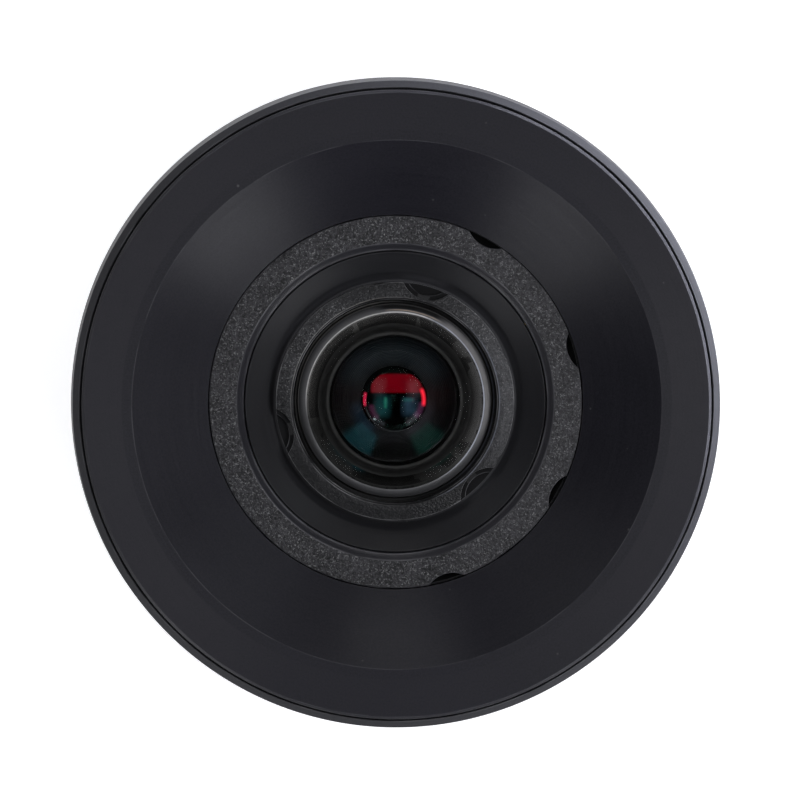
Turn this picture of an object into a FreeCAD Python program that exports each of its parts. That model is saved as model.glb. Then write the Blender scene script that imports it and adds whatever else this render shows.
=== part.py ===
import FreeCAD, Part
import math
import os

# Board camera lens in a wide hood, on an M12 mounting stem. Millimetres.
# Z is the optical axis and the front is up. z = 0 is the shoulder that seats on
# the camera. Radii are measured from the axis. The lens is focused at mid travel.

# Clearances
running_gap = 0.06          # radial, where a piece turns or slides in another
axial_gap = 0.03            # along the axis, at the focus ring's flange
seat_gap = 0.03             # radial, where pieces are screwed or pushed together

# Focus movement
turn_limit = 50.0           # degrees each way
helix_lead = 3.0            # carrier travel for one full turn of the focus ring

# Hood: front bezel
front_height = 18.0         # shoulder to front face
bezel_radius = 19.8
bezel_chamfer = 0.3
bezel_rim_height = 1.4
front_land = 2.95           # width of the flat front ring
edge_round = 0.1
cone_depth = 4.2
cone_wall = 1.5
skirt_step = 1.2            # bezel's rim to the skirt that enters the sleeve
skirt_wall = 1.3
skirt_drop = 7.5            # front face to the skirt's lower edge
ring_wall = 1.2             # wall round the focus ring's flange
o_ring_wire = 0.8
o_ring_depth = 3.6          # front face to the O-ring's centre

# Outer sleeve
lip_setback = 0.7           # front face to the sleeve's lip
lip_land = 0.1
lip_bevel_width = 0.1
lip_bevel_depth = 0.3
flare_width = 0.32          # from the lip's bevel out to the widest point
flare_depth = 4.4           # front face to the widest point
grip_step = 0.23            # widest point in to the grip's crests
grip_top_depth = 6.2
grip_height = 6.4
grip_flutes = 90
flute_radius = 0.42
flute_depth = 0.18
sleeve_tail_chamfer = 0.5

# Rear housing
shoulder_width = 3.0        # beyond the stem
shoulder_height = 0.6
base_thickness = 1.6
base_chamfer = 0.8
guide_wall = 1.3            # wall of the tube that guides the carrier
shelf_thickness = 0.9

# Mounting stem, M12 x 0.5
stem_radius = 6.0
stem_length = 6.0
stem_wall = 1.0             # thread's crest to the bore
stem_clearance = 0.4        # round the barrel's tube, which slides inside
stem_register_step = 0.5    # plain part that centres the stem in the housing
stem_flange_width = 2.2
stem_flange_thickness = 1.0
thread_pitch = 0.5
thread_depth = 0.27
thread_runout = 0.6         # plain neck under the shoulder
stem_lead_in = 0.35

# Housing screws, M1.6
screw_count = 3
screw_first_angle = 90.0
screw_radius = 0.8
screw_grip = 2.4            # thread held in the bezel's bosses
screw_head_radius = 1.4
screw_head_height = 0.9
screw_head_recess = 0.1
post_radius = 1.7
cross_slot_width = 0.4
cross_slot_length = 1.6
cross_slot_depth = 0.5

# Focus ring
ring_radius = 11.72         # grained collar that fills the cone's floor
ring_recess = 0.1           # cone's lower edge to the ring's face
collar_height = 2.08
ring_edge_round = 0.06
bevel_width = 0.48
bevel_depth = 0.5
flange_step = 1.68          # collar to flange
flange_thickness = 1.27
scallop_count = 4
scallop_first_angle = 61.05
scallop_pitch = 45.0
scallop_radius = 1.87
scallop_bite = 0.46         # how far a scallop reaches into the collar
scallop_floor = 0.28        # left above the flange
stop_notch_bite = 0.95

# Washers
washer_thickness = 0.15
washer_width = 1.1
wave_height = 0.52
wave_metal = 0.14
wave_width = 1.2
wave_count = 3
wave_point_count = 36

# Pins
follower_radius = 0.5
follower_groove_depth = 0.6
follower_first_angle = 30.0
follower_head_depth = 0.7   # flange edge to the pin's outer end
guide_radius = 0.6
guide_rise = 2.5            # carrier's lower edge to the pins
guide_slot_depth = 0.9
guide_first_angle = 90.0
pin_count = 3
stop_radius = 0.45
stop_angle = 90.0
stop_short = 0.2            # pin's end to the flange's top

# Lens carrier
carrier_radius = 9.5
carrier_recess = 0.6        # focus ring's face to the carrier's front edge
carrier_clearance = 0.9     # housing's floor to the carrier's lower edge
carrier_edge = 0.1
cove_depth = 1.45
cove_round = 2.2
cove_land = 0.12            # flat beside the retaining ring
carrier_wall = 1.05
web_thickness = 1.25

# Lens barrel
head_wall = 0.5
head_floor = 0.97           # head's lower face to the front element's seat
second_bore_step = 0.65     # front element's hollow out to the second element's bore
neck_wall = 0.65
neck_tail = 0.2             # ledge to the neck's lower end
tube_wall = 0.62
tube_tail = 0.3             # filter to the tube's end
ledge_width = 0.78
ledge_thickness = 0.7
lock_nut_room = 1.05        # carrier's wall to the nut, for a spanner
lock_nut_height = 1.0
lock_nut_slot_count = 4
lock_nut_slot_width = 1.0

# Front retaining ring and seal
retainer_overhang = 0.05    # beyond the barrel's head
retainer_reveal = 0.36      # glass edge to the ring's bore
retainer_crown_width = 0.43
retainer_height = 1.0       # above the barrel's head
retainer_slope = 0.22
retainer_bore_chamfer = 0.16
retainer_round = 0.25
retainer_thread_step = 0.29 # outside the front element's rim
retainer_skirt = 0.6        # thread below the barrel's head face
retainer_lift = 0.03
notch_count = 3
notch_first_angle = 74.8
notch_radius = 1.87
notch_bite = 0.85
notch_depth = 0.65
notch_step = 0.3
notch_step_depth = 0.25
seal_thickness = 0.3
seal_clearance = 0.04

# Front element
front_glass_radius = 6.06
front_rim_step = 0.54
front_rim_thickness = 0.9
front_glass_rise = 1.08     # straight edge above the rim
front_bevel_width = 0.5
front_bevel_rise = 0.42
front_dome_rise = 1.1
front_hollow_radius = 4.3
front_hollow_depth = 2.25

# Second element and the cone in front of it
spacer_mouth_step = 0.15    # outside the front element's hollow
spacer_throat_step = 0.15   # outside the second element's dome
spacer_step_count = 6
second_rim_drop = 2.6       # front element's seat to the second element's rim
second_rim_thickness = 0.9
second_glass_radius = 2.6
second_dome_rise = 1.2
second_hollow_radius = 1.9
second_hollow_depth = 0.8

# Rear group, front to back under the ledge. Each land is the flat round a surface.
third_thickness = 1.3
third_land = 0.95
third_front_rise = 0.5
third_rear_rise = 0.4
stop_front_length = 1.0
stop_thickness = 0.15
stop_hole_radius = 1.1
stop_rear_length = 0.55
spacer_wall = 0.65
crown_thickness = 1.2
crown_front_rise = 0.45
cement_rise = 0.7
crown_land = 0.85
flint_thickness = 1.5
flint_rear_depth = 0.2
rear_spacer_length = 0.7
rear_element_thickness = 1.5
rear_element_front_rise = 0.4
rear_element_back_rise = 0.3
rear_element_land = 0.95
rear_retainer_length = 1.2
rear_retainer_slot_width = 0.6
rear_retainer_slot_depth = 0.5
filter_thickness = 0.7

# Radii that follow from the sizes above, from the axis outwards
second_bore = front_hollow_radius + second_bore_step
neck_radius = second_bore + neck_wall
stem_bore = stem_radius - stem_wall
tube_radius = stem_bore - stem_clearance
tube_bore = tube_radius - tube_wall
ledge_radius = tube_bore - ledge_width
rear_glass_radius = tube_bore - seat_gap
third_aperture = rear_glass_radius - third_land
crown_aperture = rear_glass_radius - crown_land
rear_element_aperture = rear_glass_radius - rear_element_land
spacer_bore = rear_glass_radius - spacer_wall
stem_register = stem_radius + stem_register_step
stem_flange_radius = stem_radius + stem_flange_width
shoulder_radius = stem_radius + shoulder_width
front_rim_radius = front_glass_radius + front_rim_step
retainer_bore = front_glass_radius + retainer_reveal
retainer_thread_radius = front_rim_radius + seat_gap + retainer_thread_step
head_radius = retainer_thread_radius + seat_gap + head_wall
retainer_radius = head_radius + retainer_overhang
carrier_bore = head_radius + seat_gap
retainer_well = retainer_radius + seat_gap
carrier_inner = carrier_radius - carrier_wall
lock_nut_radius = carrier_inner - lock_nut_room
groove_floor_radius = carrier_radius - follower_groove_depth
guide_bore = carrier_radius + running_gap
guide_outer_radius = guide_bore + guide_wall
ring_bore = carrier_radius + running_gap
cone_floor_radius = ring_radius + running_gap
flange_radius = ring_radius + flange_step
ring_well_radius = flange_radius + running_gap
ring_wall_radius = ring_well_radius + ring_wall
stop_circle_radius = flange_radius - stop_notch_bite + stop_radius + running_gap
cone_mouth_radius = bezel_radius - bezel_chamfer - front_land
skirt_radius = bezel_radius - skirt_step
skirt_inner = skirt_radius - skirt_wall
sleeve_bore = skirt_radius + seat_gap
lip_bore = bezel_radius + running_gap
lip_bevel_radius = lip_bore + lip_land + lip_bevel_width
sleeve_radius = lip_bevel_radius + flare_width
grip_radius = sleeve_radius - grip_step
screw_circle_radius = (ring_wall_radius + skirt_inner) / 2

# Levels that follow, from the front down
front_z = front_height
bezel_seat_z = front_z - bezel_rim_height
cone_floor_z = front_z - cone_depth
ring_face_z = cone_floor_z - ring_recess
flange_top_z = ring_face_z - collar_height
flange_bottom_z = flange_top_z - flange_thickness
follower_z = flange_top_z - flange_thickness / 2
lip_under_z = flange_top_z + axial_gap + washer_thickness
shelf_z = flange_bottom_z - axial_gap - wave_height
shelf_bottom_z = shelf_z - shelf_thickness
screw_tip_z = shelf_z + screw_grip
base_bottom_z = shoulder_height
base_top_z = base_bottom_z + base_thickness
carrier_bottom_z = base_top_z + carrier_clearance
guide_z = carrier_bottom_z + guide_rise

carrier_front_z = ring_face_z - carrier_recess
cove_floor_z = carrier_front_z - cove_depth
head_top_z = cove_floor_z + retainer_lift
seal_top_z = head_top_z - retainer_skirt
front_rim_top_z = seal_top_z - seal_thickness
element_seat_z = front_rim_top_z - front_rim_thickness
head_bottom_z = element_seat_z - head_floor
web_bottom_z = head_bottom_z - web_thickness
second_rim_top_z = element_seat_z - second_rim_drop
second_rim_bottom_z = second_rim_top_z - second_rim_thickness
ledge_bottom_z = second_rim_bottom_z - ledge_thickness
neck_bottom_z = ledge_bottom_z - neck_tail

axis = FreeCAD.Vector(0, 0, 1)
centre = FreeCAD.Vector(0, 0, 0)


def evenly(count, first_angle):
    return [first_angle + 360.0 * i / count for i in range(count)]


def at(radius, angle, z):
    turn = math.radians(angle)
    return FreeCAD.Vector(radius * math.cos(turn), radius * math.sin(turn), z)


def solid_of(shape):
    # The faces may point inwards after a turn or a mirror
    solid = Part.Solid(shape.Shells[0])
    if solid.Volume < 0:
        solid.reverse()
    return solid


def turned_face(edges):
    return solid_of(Part.Face(Part.Wire(edges)).revolve(centre, axis, 360))


def turned(*corners):
    # Solid of revolution. A corner is (radius, z), or (radius, z, round) where the
    # corner is rounded; the round stays within its two neighbouring edges.
    points = [FreeCAD.Vector(c[0], 0, c[1]) for c in corners]
    ends = []
    edges = []
    for i, corner in enumerate(corners):
        here = points[i]
        if len(corner) == 2:
            ends.append((here, here))
            continue
        back = points[i - 1] - here
        ahead = points[(i + 1) % len(points)] - here
        half_angle = back.getAngle(ahead) / 2
        reach = min(corner[2] / math.tan(half_angle), 0.45 * back.Length, 0.45 * ahead.Length)
        back.normalize()
        ahead.normalize()
        start = here + back * reach
        end = here + ahead * reach
        middle = (back + ahead).normalize()
        round_radius = reach * math.tan(half_angle)
        via = here + middle * (round_radius / math.sin(half_angle) - round_radius)
        ends.append((start, end))
        edges.append(Part.Arc(start, via, end).toShape())
    for i in range(len(ends)):
        leave = ends[i - 1][1]
        arrive = ends[i][0]
        edges.append(Part.makeLine(leave, arrive))
    return turned_face(Part.__sortEdges__(edges))


def tube(outer, inner, bottom, top):
    return turned((inner, bottom), (outer, bottom), (outer, top), (inner, top))


def disc(radius, bottom, top):
    return Part.makeCylinder(radius, top - bottom, FreeCAD.Vector(0, 0, bottom))


def post(radius, circle_radius, angle, bottom, top):
    return Part.makeCylinder(radius, top - bottom, at(circle_radius, angle, bottom))


def spoke(radius, inner, outer, angle, z):
    # A round bar that points away from the axis
    return Part.makeCylinder(radius, outer - inner, at(inner, angle, z), at(1, angle, 0))


def spherical(rise, aperture, rim_z, outward):
    # Half profile of a glass surface, from the axis to its rim. A positive rise
    # bulges out of the glass, a negative one is hollow; outward is +1 at the front.
    radius = (aperture ** 2 + rise ** 2) / (2 * abs(rise))
    half_drop = radius - math.sqrt(radius ** 2 - aperture ** 2 / 4)
    apex_z = rim_z + outward * rise
    via_z = apex_z - outward * math.copysign(half_drop, rise)
    apex = FreeCAD.Vector(0, 0, apex_z)
    via = FreeCAD.Vector(aperture / 2, 0, via_z)
    return apex, Part.Arc(apex, via, FreeCAD.Vector(aperture, 0, rim_z)).toShape()


def lens(rim, front_rise, rear_rise):
    # rim lists (radius, z) from the edge of the front surface to that of the rear one
    front_apex, front_arc = spherical(front_rise, rim[0][0], rim[0][1], 1)
    rear_apex, rear_arc = spherical(rear_rise, rim[-1][0], rim[-1][1], -1)
    points = [FreeCAD.Vector(r, 0, z) for r, z in rim]
    edges = [front_arc, rear_arc, Part.makeLine(rear_apex, front_apex)]
    edges += [Part.makeLine(a, b) for a, b in zip(points, points[1:])]
    return turned_face(Part.__sortEdges__(edges))


def plain_rim(radius, top, bottom, front_aperture, rear_aperture):
    return [(front_aperture, top), (radius, top), (radius, bottom), (rear_aperture, bottom)]


def hood_bezel():
    cone_slope = cone_depth / (cone_mouth_radius - cone_floor_radius)
    wall_drop = cone_wall * math.hypot(1, cone_slope)
    roof_inner_z = cone_floor_z + (ring_wall_radius - cone_floor_radius) * cone_slope - wall_drop
    roof_outer_z = front_z - cone_wall
    roof_break = ring_wall_radius + (roof_outer_z - roof_inner_z) / cone_slope
    roof_break = min(roof_break, (ring_wall_radius + skirt_inner) / 2)
    skirt_z = front_z - skirt_drop
    body = turned(
        (cone_mouth_radius, front_z, edge_round),
        (bezel_radius - bezel_chamfer, front_z),
        (bezel_radius, front_z - bezel_chamfer),
        (bezel_radius, bezel_seat_z),
        (skirt_radius, bezel_seat_z),
        (skirt_radius, skirt_z),
        (skirt_inner, skirt_z),
        (skirt_inner, roof_outer_z),
        (roof_break, roof_outer_z),
        (ring_wall_radius, roof_inner_z),
        (ring_wall_radius, shelf_z),
        (ring_well_radius, shelf_z),
        (ring_well_radius, lip_under_z),
        (cone_floor_radius, lip_under_z),
        (cone_floor_radius, cone_floor_z, edge_round),
    )
    under_cone = turned(
        (ring_well_radius, shelf_z),
        (skirt_radius, shelf_z),
        (skirt_radius, roof_outer_z),
        (roof_break, roof_outer_z),
        (ring_wall_radius, roof_inner_z),
        (ring_well_radius, roof_inner_z),
    )
    for angle in evenly(screw_count, screw_first_angle):
        boss = post(post_radius, screw_circle_radius, angle, shelf_z, roof_outer_z)
        body = body.fuse(boss.common(under_cone))
    holes = [
        post(screw_radius, screw_circle_radius, angle, shelf_z, screw_tip_z)
        for angle in evenly(screw_count, screw_first_angle)
    ]
    wire_radius = o_ring_wire / 2
    groove_floor = sleeve_bore - o_ring_wire - seat_gap
    o_ring_z = front_z - o_ring_depth
    half_groove = wire_radius + seat_gap
    groove = tube(sleeve_bore, groove_floor, o_ring_z - half_groove, o_ring_z + half_groove)
    return body.cut(holes + [groove])


def bezel_o_ring():
    wire_radius = o_ring_wire / 2
    return Part.makeTorus(
        sleeve_bore - wire_radius, wire_radius, FreeCAD.Vector(0, 0, front_z - o_ring_depth)
    )


def outer_sleeve():
    lip_z = front_z - lip_setback
    flare_z = front_z - flare_depth
    grip_top = front_z - grip_top_depth
    grip_bottom = grip_top - grip_height
    body = turned(
        (lip_bore, bezel_seat_z),
        (lip_bore, lip_z),
        (lip_bore + lip_land, lip_z),
        (lip_bevel_radius, lip_z - lip_bevel_depth, edge_round),
        (sleeve_radius, flare_z, edge_round),
        (sleeve_radius, grip_top, edge_round),
        (grip_radius, grip_top),
        (grip_radius, grip_bottom),
        (sleeve_radius, grip_bottom, edge_round),
        (sleeve_radius, base_top_z + sleeve_tail_chamfer),
        (sleeve_radius - sleeve_tail_chamfer, base_top_z),
        (sleeve_bore, base_top_z),
        (sleeve_bore, bezel_seat_z),
    )
    flute_circle = grip_radius + flute_radius - flute_depth
    flutes = [
        post(flute_radius, flute_circle, angle, grip_bottom, grip_top)
        for angle in evenly(grip_flutes, 0)
    ]
    return body.cut(flutes)


def rear_housing():
    base_radius = sleeve_radius - sleeve_tail_chamfer
    register_z = base_top_z + shelf_thickness
    body = turned(
        (stem_register + seat_gap, 0),
        (shoulder_radius, 0),
        (shoulder_radius, base_bottom_z),
        (base_radius - base_chamfer, base_bottom_z),
        (base_radius, base_bottom_z + base_chamfer),
        (base_radius, base_top_z),
        (skirt_radius, base_top_z),
        (skirt_radius, register_z),
        (skirt_inner, register_z),
        (skirt_inner, base_top_z),
        (guide_outer_radius, base_top_z),
        (guide_outer_radius, shelf_bottom_z),
        (ring_wall_radius, shelf_bottom_z),
        (ring_wall_radius, shelf_z),
        (guide_bore, shelf_z),
        (guide_bore, base_top_z),
        (stem_flange_radius + seat_gap, base_top_z),
        (stem_flange_radius + seat_gap, base_top_z - stem_flange_thickness),
        (stem_register + seat_gap, base_top_z - stem_flange_thickness),
    )
    screw_angles = evenly(screw_count, screw_first_angle)
    posts = [
        post(post_radius, screw_circle_radius, angle, base_top_z, shelf_z)
        for angle in screw_angles
    ]
    room = tube(skirt_radius, guide_outer_radius, base_top_z, shelf_z)
    body = body.fuse([p.common(room) for p in posts])
    head_well_z = base_bottom_z + screw_head_recess + screw_head_height
    cuts = []
    hole_radius = screw_radius + seat_gap
    well_radius = screw_head_radius + seat_gap
    for angle in screw_angles:
        cuts.append(post(hole_radius, screw_circle_radius, angle, base_bottom_z, shelf_z))
        cuts.append(post(well_radius, screw_circle_radius, angle, base_bottom_z, head_well_z))
    for angle in evenly(pin_count, guide_first_angle):
        cuts.append(spoke(guide_radius, guide_bore - guide_wall / 2, guide_outer_radius, angle, guide_z))
    cuts.append(post(stop_radius, stop_circle_radius, stop_angle, shelf_bottom_z, shelf_z))
    return body.cut(cuts)


def mount_stem():
    flange_z = base_top_z
    flange_under_z = base_top_z - stem_flange_thickness
    turns = int((stem_length - thread_runout - stem_lead_in) / thread_pitch)
    root_radius = stem_radius - thread_depth
    thread_start_z = -thread_runout
    outline = [
        (stem_bore, flange_z),
        (stem_bore, -stem_length),
        (root_radius, -stem_length),
        (root_radius, -stem_length + stem_lead_in - thread_depth / 2),
    ]
    crest_half = thread_pitch / 16
    for i in reversed(range(turns)):
        top_z = thread_start_z - i * thread_pitch
        middle_z = top_z - thread_pitch / 2
        outline.append((root_radius, top_z - thread_pitch + crest_half))
        outline.append((stem_radius, middle_z - crest_half))
        outline.append((stem_radius, middle_z + crest_half))
        outline.append((root_radius, top_z - crest_half))
    outline += [
        (root_radius, thread_start_z),
        (stem_radius, thread_start_z + thread_depth),
        (stem_radius, 0),
        (stem_register, 0),
        (stem_register, flange_under_z),
        (stem_flange_radius, flange_under_z),
        (stem_flange_radius, flange_z),
    ]
    return turned(*outline)


def housing_screws():
    head_bottom = base_bottom_z + screw_head_recess
    head_top = head_bottom + screw_head_height
    screws = []
    for angle in evenly(screw_count, screw_first_angle):
        head = post(screw_head_radius, screw_circle_radius, angle, head_bottom, head_top)
        head = head.makeChamfer(screw_head_height / 6, [head.Edges[2]])
        shank = post(screw_radius, screw_circle_radius, angle, head_top, screw_tip_z)
        screw = head.fuse(shank)
        for turn in (0, 90):
            slot = Part.makeBox(
                cross_slot_length, cross_slot_width, cross_slot_depth,
                FreeCAD.Vector(-cross_slot_length / 2, -cross_slot_width / 2, 0),
            )
            slot.rotate(centre, axis, angle + turn)
            slot.translate(at(screw_circle_radius, angle, head_bottom))
            screw = screw.cut(slot)
        screws.append(screw)
    return Part.makeCompound(screws)


def thrust_washer():
    outer = cone_floor_radius + washer_width
    bottom = flange_top_z + axial_gap
    return tube(outer, cone_floor_radius + seat_gap, bottom, bottom + washer_thickness)


def wave_washer():
    inner = guide_outer_radius
    outer = inner + wave_width
    swing = (wave_height - wave_metal) / 2
    middle_z = shelf_z + wave_height / 2

    def wavy_circle(radius, offset):
        points = []
        for angle in evenly(wave_point_count, 0):
            height = swing * math.cos(math.radians(angle * wave_count))
            points.append(at(radius, angle, middle_z + height + offset))
        curve = Part.BSplineCurve()
        curve.interpolate(points, PeriodicFlag=True)
        return curve.toShape()

    half = wave_metal / 2
    loops = [
        wavy_circle(inner, -half),
        wavy_circle(outer, -half),
        wavy_circle(outer, half),
        wavy_circle(inner, half),
    ]
    faces = [Part.makeRuledSurface(loops[i - 1], loops[i]) for i in range(4)]
    return solid_of(Part.Shell(faces))


def stop_pin():
    return post(stop_radius, stop_circle_radius, stop_angle, shelf_bottom_z, flange_top_z - stop_short)


def guide_pins():
    # Each pin is flush with the outside of the guide tube, and round like it
    inner = carrier_radius - guide_slot_depth + running_gap
    within_tube = disc(guide_outer_radius, guide_z - guide_radius, guide_z + guide_radius)
    return Part.makeCompound([
        spoke(guide_radius, inner, guide_outer_radius, angle, guide_z).common(within_tube)
        for angle in evenly(pin_count, guide_first_angle)
    ])


def focus_ring():
    body = turned(
        (ring_bore, ring_face_z - bevel_depth),
        (ring_bore + bevel_width, ring_face_z),
        (ring_radius, ring_face_z, ring_edge_round),
        (ring_radius, flange_top_z),
        (flange_radius, flange_top_z),
        (flange_radius, flange_bottom_z),
        (ring_bore, flange_bottom_z),
    )
    scallop_circle = ring_radius - scallop_bite + scallop_radius
    scallop_floor_z = flange_top_z + scallop_floor
    cuts = []
    for i in range(scallop_count):
        angle = scallop_first_angle - i * scallop_pitch
        cuts.append(post(scallop_radius, scallop_circle, angle, scallop_floor_z, ring_face_z))
    for angle in evenly(pin_count, follower_first_angle):
        cuts.append(spoke(follower_radius, ring_bore - running_gap, flange_radius, angle, follower_z))
    pin_room = math.degrees((stop_radius + running_gap) / stop_circle_radius)
    half_angle = turn_limit + pin_room
    notch_floor = flange_radius - stop_notch_bite
    notch = Part.makeCylinder(
        flange_radius + running_gap, flange_thickness,
        FreeCAD.Vector(0, 0, flange_bottom_z), axis, 2 * half_angle,
    )
    notch.rotate(centre, axis, stop_angle - half_angle)
    cuts.append(notch.cut(disc(notch_floor, flange_bottom_z, flange_top_z)))
    return body.cut(cuts)


def follower_pins():
    inner = groove_floor_radius + running_gap
    outer = flange_radius - follower_head_depth
    return Part.makeCompound([
        spoke(follower_radius, inner, outer, angle, follower_z)
        for angle in evenly(pin_count, follower_first_angle)
    ])


def helical_groove(first_angle):
    # Left-hand groove: the carrier comes forward as the ring turns anticlockwise.
    # It runs past each stop by the room that the pin needs.
    half_width = follower_radius + running_gap
    reach = turn_limit + math.degrees((half_width + running_gap) / groove_floor_radius)
    climb = helix_lead * reach / 360.0
    outer = carrier_radius + running_gap
    path = Part.makeHelix(helix_lead, 2 * climb, carrier_radius)
    section = Part.makePolygon([
        FreeCAD.Vector(groove_floor_radius, 0, -half_width),
        FreeCAD.Vector(outer, 0, -half_width),
        FreeCAD.Vector(outer, 0, half_width),
        FreeCAD.Vector(groove_floor_radius, 0, half_width),
        FreeCAD.Vector(groove_floor_radius, 0, -half_width),
    ])
    groove = Part.Wire(path).makePipeShell([section], True, True)
    groove = solid_of(groove.mirror(centre, FreeCAD.Vector(0, 1, 0)))
    groove.rotate(centre, axis, first_angle + reach)
    groove.translate(FreeCAD.Vector(0, 0, follower_z - climb))
    return groove


def lens_carrier():
    body = turned(
        (carrier_radius - carrier_edge, carrier_front_z),
        (carrier_radius, carrier_front_z - carrier_edge),
        (carrier_radius, carrier_bottom_z),
        (carrier_inner, carrier_bottom_z),
        (carrier_inner, web_bottom_z, web_thickness / 2),
        (neck_radius + seat_gap, web_bottom_z),
        (neck_radius + seat_gap, head_bottom_z),
        (carrier_bore, head_bottom_z),
        (carrier_bore, head_top_z - retainer_lift),
        (retainer_well, cove_floor_z),
        (retainer_well + cove_land, cove_floor_z, cove_round),
    )
    for angle in evenly(pin_count, follower_first_angle):
        body = body.cut(helical_groove(angle))
    cuts = []
    slot_half = guide_radius + running_gap
    slot_top = guide_z + helix_lead * turn_limit / 360.0 + running_gap
    floor_radius = carrier_radius - guide_slot_depth
    for angle in evenly(pin_count, guide_first_angle):
        slot = Part.makeBox(
            guide_slot_depth + running_gap, 2 * slot_half, slot_top - carrier_bottom_z,
            FreeCAD.Vector(floor_radius, -slot_half, carrier_bottom_z),
        )
        slot.rotate(centre, axis, angle)
        cuts.append(slot)
        cuts.append(spoke(slot_half, floor_radius, carrier_radius + running_gap, angle, slot_top))
    return body.cut(cuts)


def lens_barrel():
    tube_chamfer = tube_wall / 4
    stack = (
        third_thickness + stop_front_length + stop_thickness + stop_rear_length + crown_thickness
        + flint_thickness + rear_spacer_length + rear_element_thickness + rear_retainer_length
        + filter_thickness
    )
    tube_bottom_z = ledge_bottom_z - stack - tube_tail
    return turned(
        (retainer_thread_radius + seat_gap, head_top_z),
        (head_radius, head_top_z),
        (head_radius, head_bottom_z),
        (neck_radius, head_bottom_z),
        (neck_radius, neck_bottom_z),
        (tube_radius, neck_bottom_z),
        (tube_radius, tube_bottom_z + tube_chamfer),
        (tube_radius - tube_chamfer, tube_bottom_z),
        (tube_bore, tube_bottom_z),
        (tube_bore, ledge_bottom_z),
        (ledge_radius, ledge_bottom_z),
        (ledge_radius, second_rim_bottom_z),
        (second_bore, second_rim_bottom_z),
        (second_bore, element_seat_z),
        (front_rim_radius + seat_gap, element_seat_z),
        (front_rim_radius + seat_gap, front_rim_top_z),
        (retainer_thread_radius + seat_gap, front_rim_top_z),
    )


def barrel_lock_ring():
    top = web_bottom_z
    bottom = top - lock_nut_height
    nut = tube(lock_nut_radius, neck_radius + seat_gap, bottom, top)
    slots = []
    slot_reach = lock_nut_radius - neck_radius
    for angle in evenly(lock_nut_slot_count, 0):
        slot = Part.makeBox(
            slot_reach, lock_nut_slot_width, lock_nut_height / 2,
            FreeCAD.Vector(neck_radius + slot_reach / 2, -lock_nut_slot_width / 2, bottom),
        )
        slot.rotate(centre, axis, angle)
        slots.append(slot)
    return nut.cut(slots)


def front_retaining_ring():
    base_z = head_top_z + retainer_lift
    crown_z = head_top_z + retainer_height
    body = turned(
        (retainer_bore, seal_top_z),
        (retainer_thread_radius, seal_top_z),
        (retainer_thread_radius, base_z),
        (retainer_radius, base_z),
        (retainer_radius, crown_z - retainer_slope, retainer_round),
        (retainer_bore + retainer_crown_width, crown_z, retainer_round),
        (retainer_bore + retainer_bore_chamfer, crown_z),
        (retainer_bore, crown_z - retainer_bore_chamfer),
    )
    notch_circle = retainer_radius - notch_bite + notch_radius
    notch_floor = crown_z - notch_depth
    step_floor = crown_z - notch_step_depth
    cuts = []
    for angle in evenly(notch_count, notch_first_angle):
        cuts.append(post(notch_radius, notch_circle, angle, step_floor, crown_z))
        cuts.append(post(notch_radius - notch_step, notch_circle, angle, notch_floor, crown_z))
    return body.cut(cuts)


def front_seal():
    return tube(front_rim_radius, front_glass_radius + seal_clearance, front_rim_top_z, seal_top_z)


def front_element():
    shoulder_z = front_rim_top_z + front_glass_rise
    dome_edge = front_glass_radius - front_bevel_width
    return lens(
        [
            (dome_edge, shoulder_z + front_bevel_rise),
            (front_glass_radius, shoulder_z),
            (front_glass_radius, front_rim_top_z),
            (front_rim_radius, front_rim_top_z),
            (front_rim_radius, element_seat_z),
            (front_hollow_radius, element_seat_z),
        ],
        front_dome_rise,
        -front_hollow_depth,
    )


def front_spacer():
    # Stepped cone that keeps stray light out
    outer = second_bore - seat_gap
    top = element_seat_z
    bottom = second_rim_top_z
    throat = second_glass_radius + spacer_throat_step
    mouth = front_hollow_radius + spacer_mouth_step
    outline = [(outer, top), (outer, bottom), (throat, bottom)]
    rise = (top - bottom) / spacer_step_count
    run = (mouth - throat) / spacer_step_count
    for i in range(spacer_step_count):
        outline.append((throat + i * run, bottom + (i + 1) * rise))
        outline.append((throat + (i + 1) * run, bottom + (i + 1) * rise))
    return turned(*outline)


def second_element():
    rim_radius = second_bore - seat_gap
    rim = plain_rim(
        rim_radius, second_rim_top_z, second_rim_bottom_z, second_glass_radius, second_hollow_radius
    )
    return lens(rim, second_dome_rise, -second_hollow_depth)


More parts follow.
